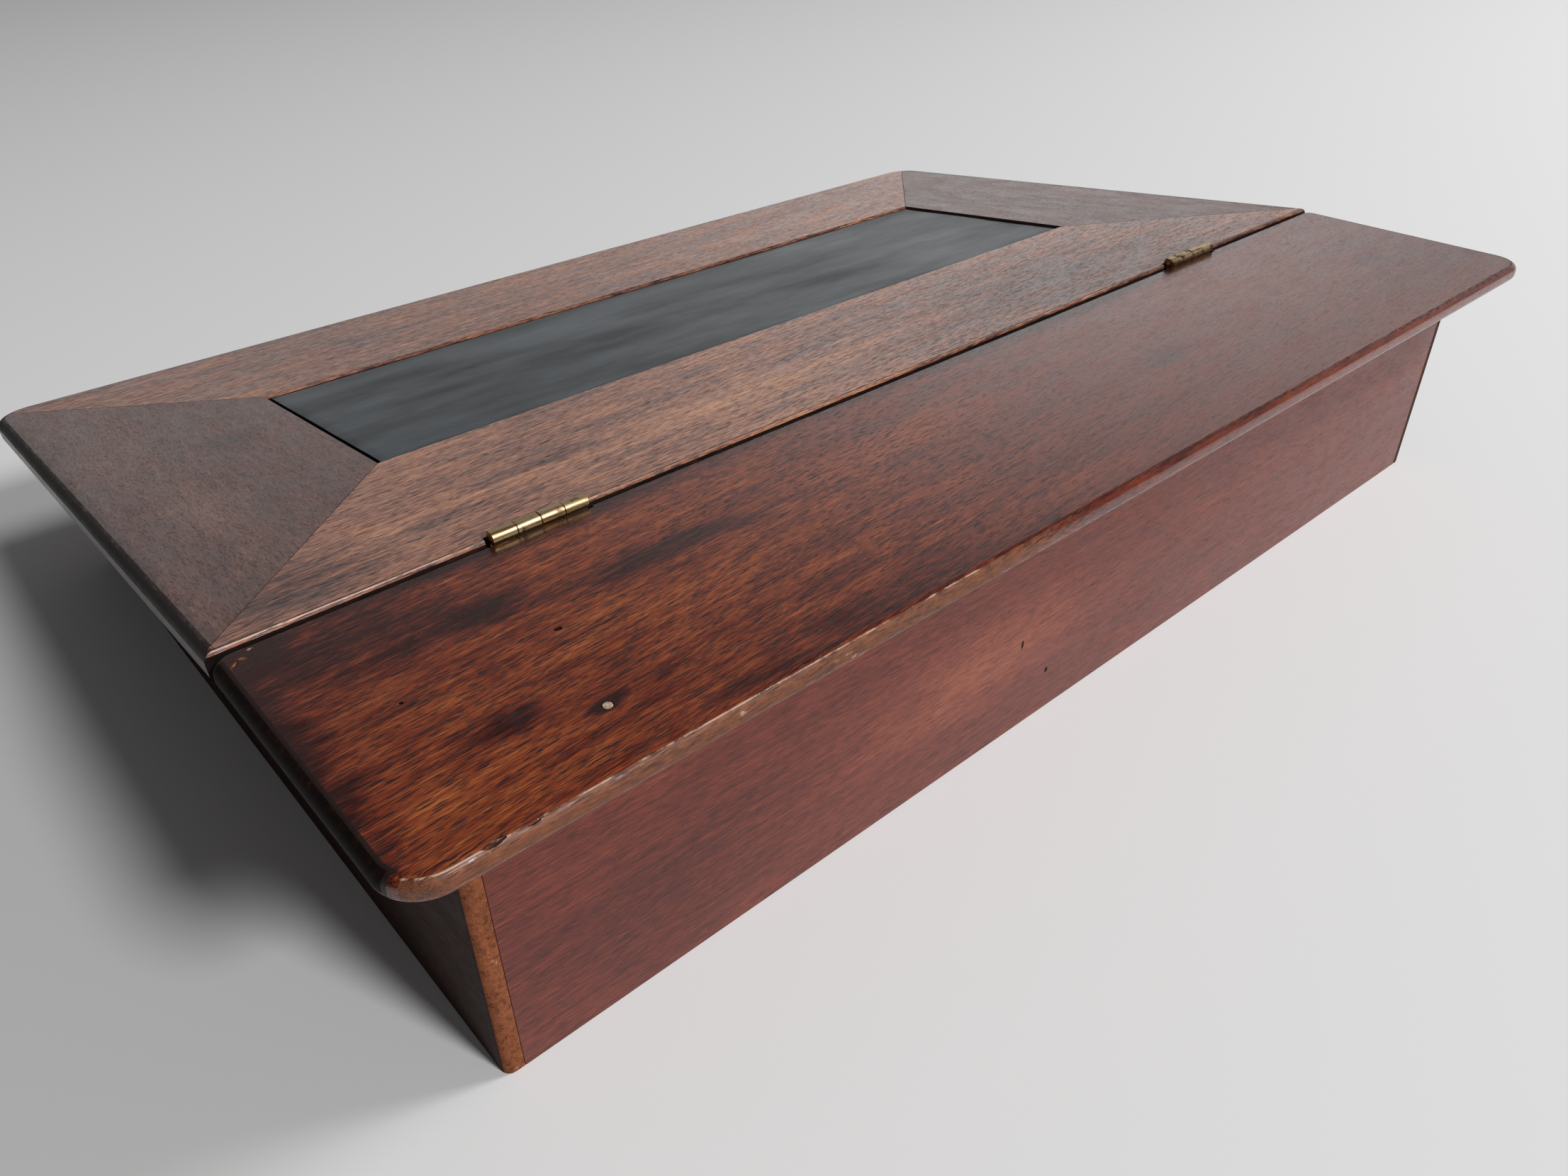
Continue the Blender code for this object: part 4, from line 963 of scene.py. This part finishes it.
def build_leather():
    """The leather, pasted down, with long soft ripples. It has shrunk from the recess, most at one end."""
    low, high = lid_box("leather_inset")
    low += Vector((SHRINK, SHRINK, 0))
    high -= Vector((END_SHRINK, SHRINK, 0))
    size = high - low
    bpy.ops.object.select_all(action="DESELECT")
    bpy.ops.mesh.primitive_grid_add(x_subdivisions=LEATHER_GRID[0], y_subdivisions=LEATHER_GRID[1], size=1)
    skin = bpy.context.object
    skin.name = "writing_leather"
    skin.data.transform(Matrix.Translation(((low.x + high.x) / 2, (low.y + high.y) / 2, high.z))
                        @ Matrix.Diagonal((size.x, size.y, 1, 1)))
    for vert in skin.data.vertices:
        edge = min(vert.co.x - low.x, high.x - vert.co.x, vert.co.y - low.y, high.y - vert.co.y)
        press = held(1 - edge / PRESSED_WIDTH) ** 2
        long = noise.fractal(Vector((vert.co.x / LONG_RIPPLE.x, vert.co.y / LONG_RIPPLE.y, 0)), 1.0, 2.0, 2)
        short = noise.noise(Vector((vert.co.x / SHORT_RIPPLE.x, vert.co.y / SHORT_RIPPLE.y, 3)))
        vert.co.z += LONG_RIPPLE.z * (long - 1) + SHORT_RIPPLE.z * (short - 1) - PRESSED_DEPTH * press
    work(skin, "SOLIDIFY", thickness=LEATHER_THICK, offset=-1.0)
    skin.data.transform(LID)
    hand_over(skin, "lid", "leather", [leather], "leather_inset")


def build_leaves(owner, body, towards):
    """Two drawn brass leaves, one copied from the other: knuckles round the pin, and the plate that hangs
    from them, towards the ledge or the lid."""
    low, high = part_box(f"right_{owner}_leaf")
    radius = high.z - hinge_axis.z
    leaf = rod(f"right_{owner}_leaf_brass", radius, (low.x, hinge_axis.y, hinge_axis.z),
               (high.x, hinge_axis.y, hinge_axis.z), KNUCKLE_SIDES)
    ys = sorted(hinge_axis.y + towards * reach for reach in (LEAF_PLAY / 2, LEAF_PLAY / 2 + LEAF_THICK))
    join(leaf, stock("plate", (low.x, ys[0], low.z), (high.x, ys[1], hinge_axis.z)))
    step = (high.x - low.x) / KNUCKLES
    room = radius + RUN_GAP
    for index in range(0 if owner == "ledge" else 1, KNUCKLES, 2):
        right = high.x - index * step + KNUCKLE_PLAY / 2
        left = right - step - KNUCKLE_PLAY
        cut(leaf, stock("knuckle_gap", (left, hinge_axis.y - 2 * room, hinge_axis.z - room),
                        (right, hinge_axis.y + 2 * room, hinge_axis.z + 2 * room)))
    cut(leaf, rod("bore", PIN_BORE, (low.x - MM, hinge_axis.y, hinge_axis.z),
                  (high.x + MM, hinge_axis.y, hinge_axis.z), HOLE_SIDES))
    saw(leaf, (0, 0, hinge_axis.z + FLATS[owner] * radius), (0, 0, 1))
    ease(leaf, BRASS_EASE)
    twin = copy_of(leaf, f"left_{owner}_leaf_brass")
    twin.data.transform(Matrix.Translation((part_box(f"left_{owner}_leaf")[0].x - low.x, 0, 0)))
    hand_over(leaf, body, "brass", [brass], f"right_{owner}_leaf")
    hand_over(twin, body, "brass", [tarnished_brass], f"left_{owner}_leaf")


def build_metalwork():
    """The lock's pieces, the hinge pins and the brad, eased at their edges."""
    for node, body, slot, material in (
        ("right_hinge_pin", "case", "brass", brass), ("left_hinge_pin", "case", "brass", brass),
        ("lock_plate", "case", "brass", brass), ("lock_case", "case", "steel", iron),
        ("keyhole_lining", "case", "brass", brass), ("lock_bolt", "bolt", "brass", brass),
        ("link_plate", "lid", "brass", brass), ("ledge_brad", "case", "steel", iron),
        ("ledge_brad_plug", "case", "filler", filler),
    ):
        piece = cad_copy(node, node + "_eased")
        ease(piece, BRASS_EASE)
        hand_over(piece, body, slot, [material], node)


def screw_blank(radius, length):
    """A countersunk wood screw, its slotted head up at the origin: head, neck, shank and point."""
    screw = rod("screw_blank", radius, (0, 0, -SCREW_HEAD), (0, 0, 0), SCREW_SIDES)
    shank = length - SCREW_HEAD
    edit(screw)
    choose("FACE", lambda face: face.normal.z < -0.9)
    bpy.ops.transform.resize(value=(SHANK_SHARE, SHANK_SHARE, 1))
    bpy.ops.mesh.extrude_region_move(TRANSFORM_OT_translate={"value": (0, 0, (POINT_SHARE - 1) * shank)})
    bpy.ops.mesh.extrude_region_move(TRANSFORM_OT_translate={"value": (0, 0, -POINT_SHARE * shank)})
    bpy.ops.transform.resize(value=(POINT_TAPER, POINT_TAPER, 1))
    close()
    cut(screw, stock("slot", (-2 * radius, -SLOT_WIDTH / 2, -SLOT_DEPTH), (2 * radius, SLOT_WIDTH / 2, MM)))
    ease(screw, SCREW_EASE)
    return screw


def drive_screws(nodes, body, direction, lie=Matrix.Identity(4)):
    """Drive screws of one size in the places of plain ones: one is made, and copied for each. Directions and
    sizes are measured in a lie, level or the lid's."""
    flip = direction.to_track_quat("-Z", "Y").to_matrix().to_4x4()
    axis = max(range(3), key=lambda i: abs(direction[i]))
    low, high = lid_box(nodes[0], lie)
    size = high - low
    blank = screw_blank(size[(axis + 1) % 3] / 2, size[axis])
    for index, node in enumerate(nodes):
        low, high = lid_box(node, lie)
        middle = (low + high) / 2
        middle[axis] = low[axis] if direction[axis] > 0 else high[axis]
        screw = copy_of(blank, node + "_slotted")
        turn = Matrix.Rotation(SCREW_TURN + SCREW_TURN_STEP * index, 4, "Z")
        screw.data.transform(lie @ Matrix.Translation(middle) @ flip @ turn)
        hand_over(screw, body, "brass", [brass], node)
    bpy.data.objects.remove(blank)


def build_screws():
    """Screws of the hinge leaves, the lock and the link plate."""
    sides = [(side, number) for side in ("right", "left") for number in (1, 2)]
    drive_screws([f"{s}_ledge_leaf_screw_{n}" for s, n in sides], "case", Vector((0, 1, 0)))
    drive_screws([f"{s}_lid_leaf_screw_{n}" for s, n in sides], "lid", Vector((0, -1, 0)))
    drive_screws([f"lock_screw_{n}" for n in (1, 2, 3, 4)], "case", Vector((0, -1, 0)))
    drive_screws([f"link_screw_{n}" for n in (1, 2)], "lid", Vector((0, 0, 1)), LID)


def lay_floor():
    """A plain pale floor."""
    bpy.ops.object.select_all(action="DESELECT")
    bpy.ops.mesh.primitive_plane_add(size=FLOOR_SIZE)
    floor = bpy.context.object
    floor.name = "floor"
    material, tree, shader, _ = new_material("pale floor")
    feed(tree, shader, {"Base Color": colour("DCDCDC"), "Roughness": 0.9, "Specular IOR Level": 0.0})
    floor.data.materials.append(material)


def hang_windows():
    """Two soft windows."""
    for name, way, energy, size, mirrored in WINDOWS:
        light = bpy.data.lights.new(name, "AREA")
        light.shape = "DISK"
        light.size = size
        light.energy = energy
        lamp = bpy.data.objects.new(name, light)
        way = Vector(way).normalized()
        lamp.location = way * WINDOW_DISTANCE
        lamp.rotation_euler = (-way).to_track_quat("-Z", "Y").to_euler()
        lamp.visible_camera = False
        lamp.visible_glossy = mirrored
        bpy.context.collection.objects.link(lamp)


def surround():
    """The studio round the box: the soft light that it gives, what polish mirrors, and a pale background."""
    world = bpy.data.worlds.new("studio")
    world.use_nodes = True
    tree = world.node_tree
    background = tree.nodes["Background"]
    path = add(tree, "LightPath")
    way = add(tree, "TexCoord").outputs["Generated"]
    up = add(tree, "VectorMath", {0: way, 1: (0, 0, 1)}, operation="DOT_PRODUCT").outputs["Value"]
    level_way = add(tree, "VectorMath", {0: way, 1: (1, 1, 0)}, operation="MULTIPLY")
    heading = add(tree, "VectorMath", {0: level_way}, operation="NORMALIZE")
    ahead = add(tree, "VectorMath", {0: heading, 1: LIGHT_WALL}, operation="DOT_PRODUCT").outputs["Value"]
    aside = add(tree, "VectorMath", {0: way, 1: BRIGHT_SIDE}, operation="DOT_PRODUCT").outputs["Value"]
    backdrop = add(tree, "ValToRGB", {"Fac": up}, stops=HEIGHT_LEVELS)
    in_front = add(tree, "ValToRGB", {"Fac": ahead}, stops=HEADING_LEVELS)
    mirrored = add(tree, "Math", {0: backdrop, 1: in_front}, operation="MULTIPLY")
    given = add(tree, "MapRange", {"Value": aside, "From Min": -1.0, "From Max": 1.0, "To Min": DIM_LEVEL,
                                   "To Max": BRIGHT_LEVEL})
    level = add(tree, "Mix", {"Factor": path.outputs["Is Glossy Ray"], "A": given, "B": mirrored},
                data_type="RGBA")
    level = add(tree, "Mix", {"Factor": path.outputs["Is Camera Ray"], "A": level.outputs["Result"],
                              "B": BACKGROUND}, data_type="RGBA")
    feed(tree, background, {"Color": level.outputs["Result"]})
    bpy.context.scene.world = world


def set_camera():
    """The camera, behind the box and over its right back corner."""
    lens = bpy.data.cameras.new("camera")
    lens.sensor_width = SENSOR
    lens.lens = LENS
    lens.clip_start = 0.01
    camera = bpy.data.objects.new("camera", lens)
    camera.location = EYE
    ahead = Vector((-sin(AZIMUTH) * cos(ELEVATION), cos(AZIMUTH) * cos(ELEVATION), -sin(ELEVATION)))
    camera.rotation_mode = "QUATERNION"
    camera.rotation_quaternion = ahead.to_track_quat("-Z", "Y") @ Quaternion((0, 0, 1), ROLL)
    bpy.context.collection.objects.link(camera)
    bpy.context.scene.camera = camera
    bpy.context.scene.view_settings.view_transform = "Standard"


build_ledge()
build_lid_frame()
build_case()
build_panel()
build_leather()
build_leaves("ledge", "case", 1)
build_leaves("lid", "lid", -1)
build_metalwork()
build_screws()
lay_floor()
hang_windows()
surround()
set_camera()
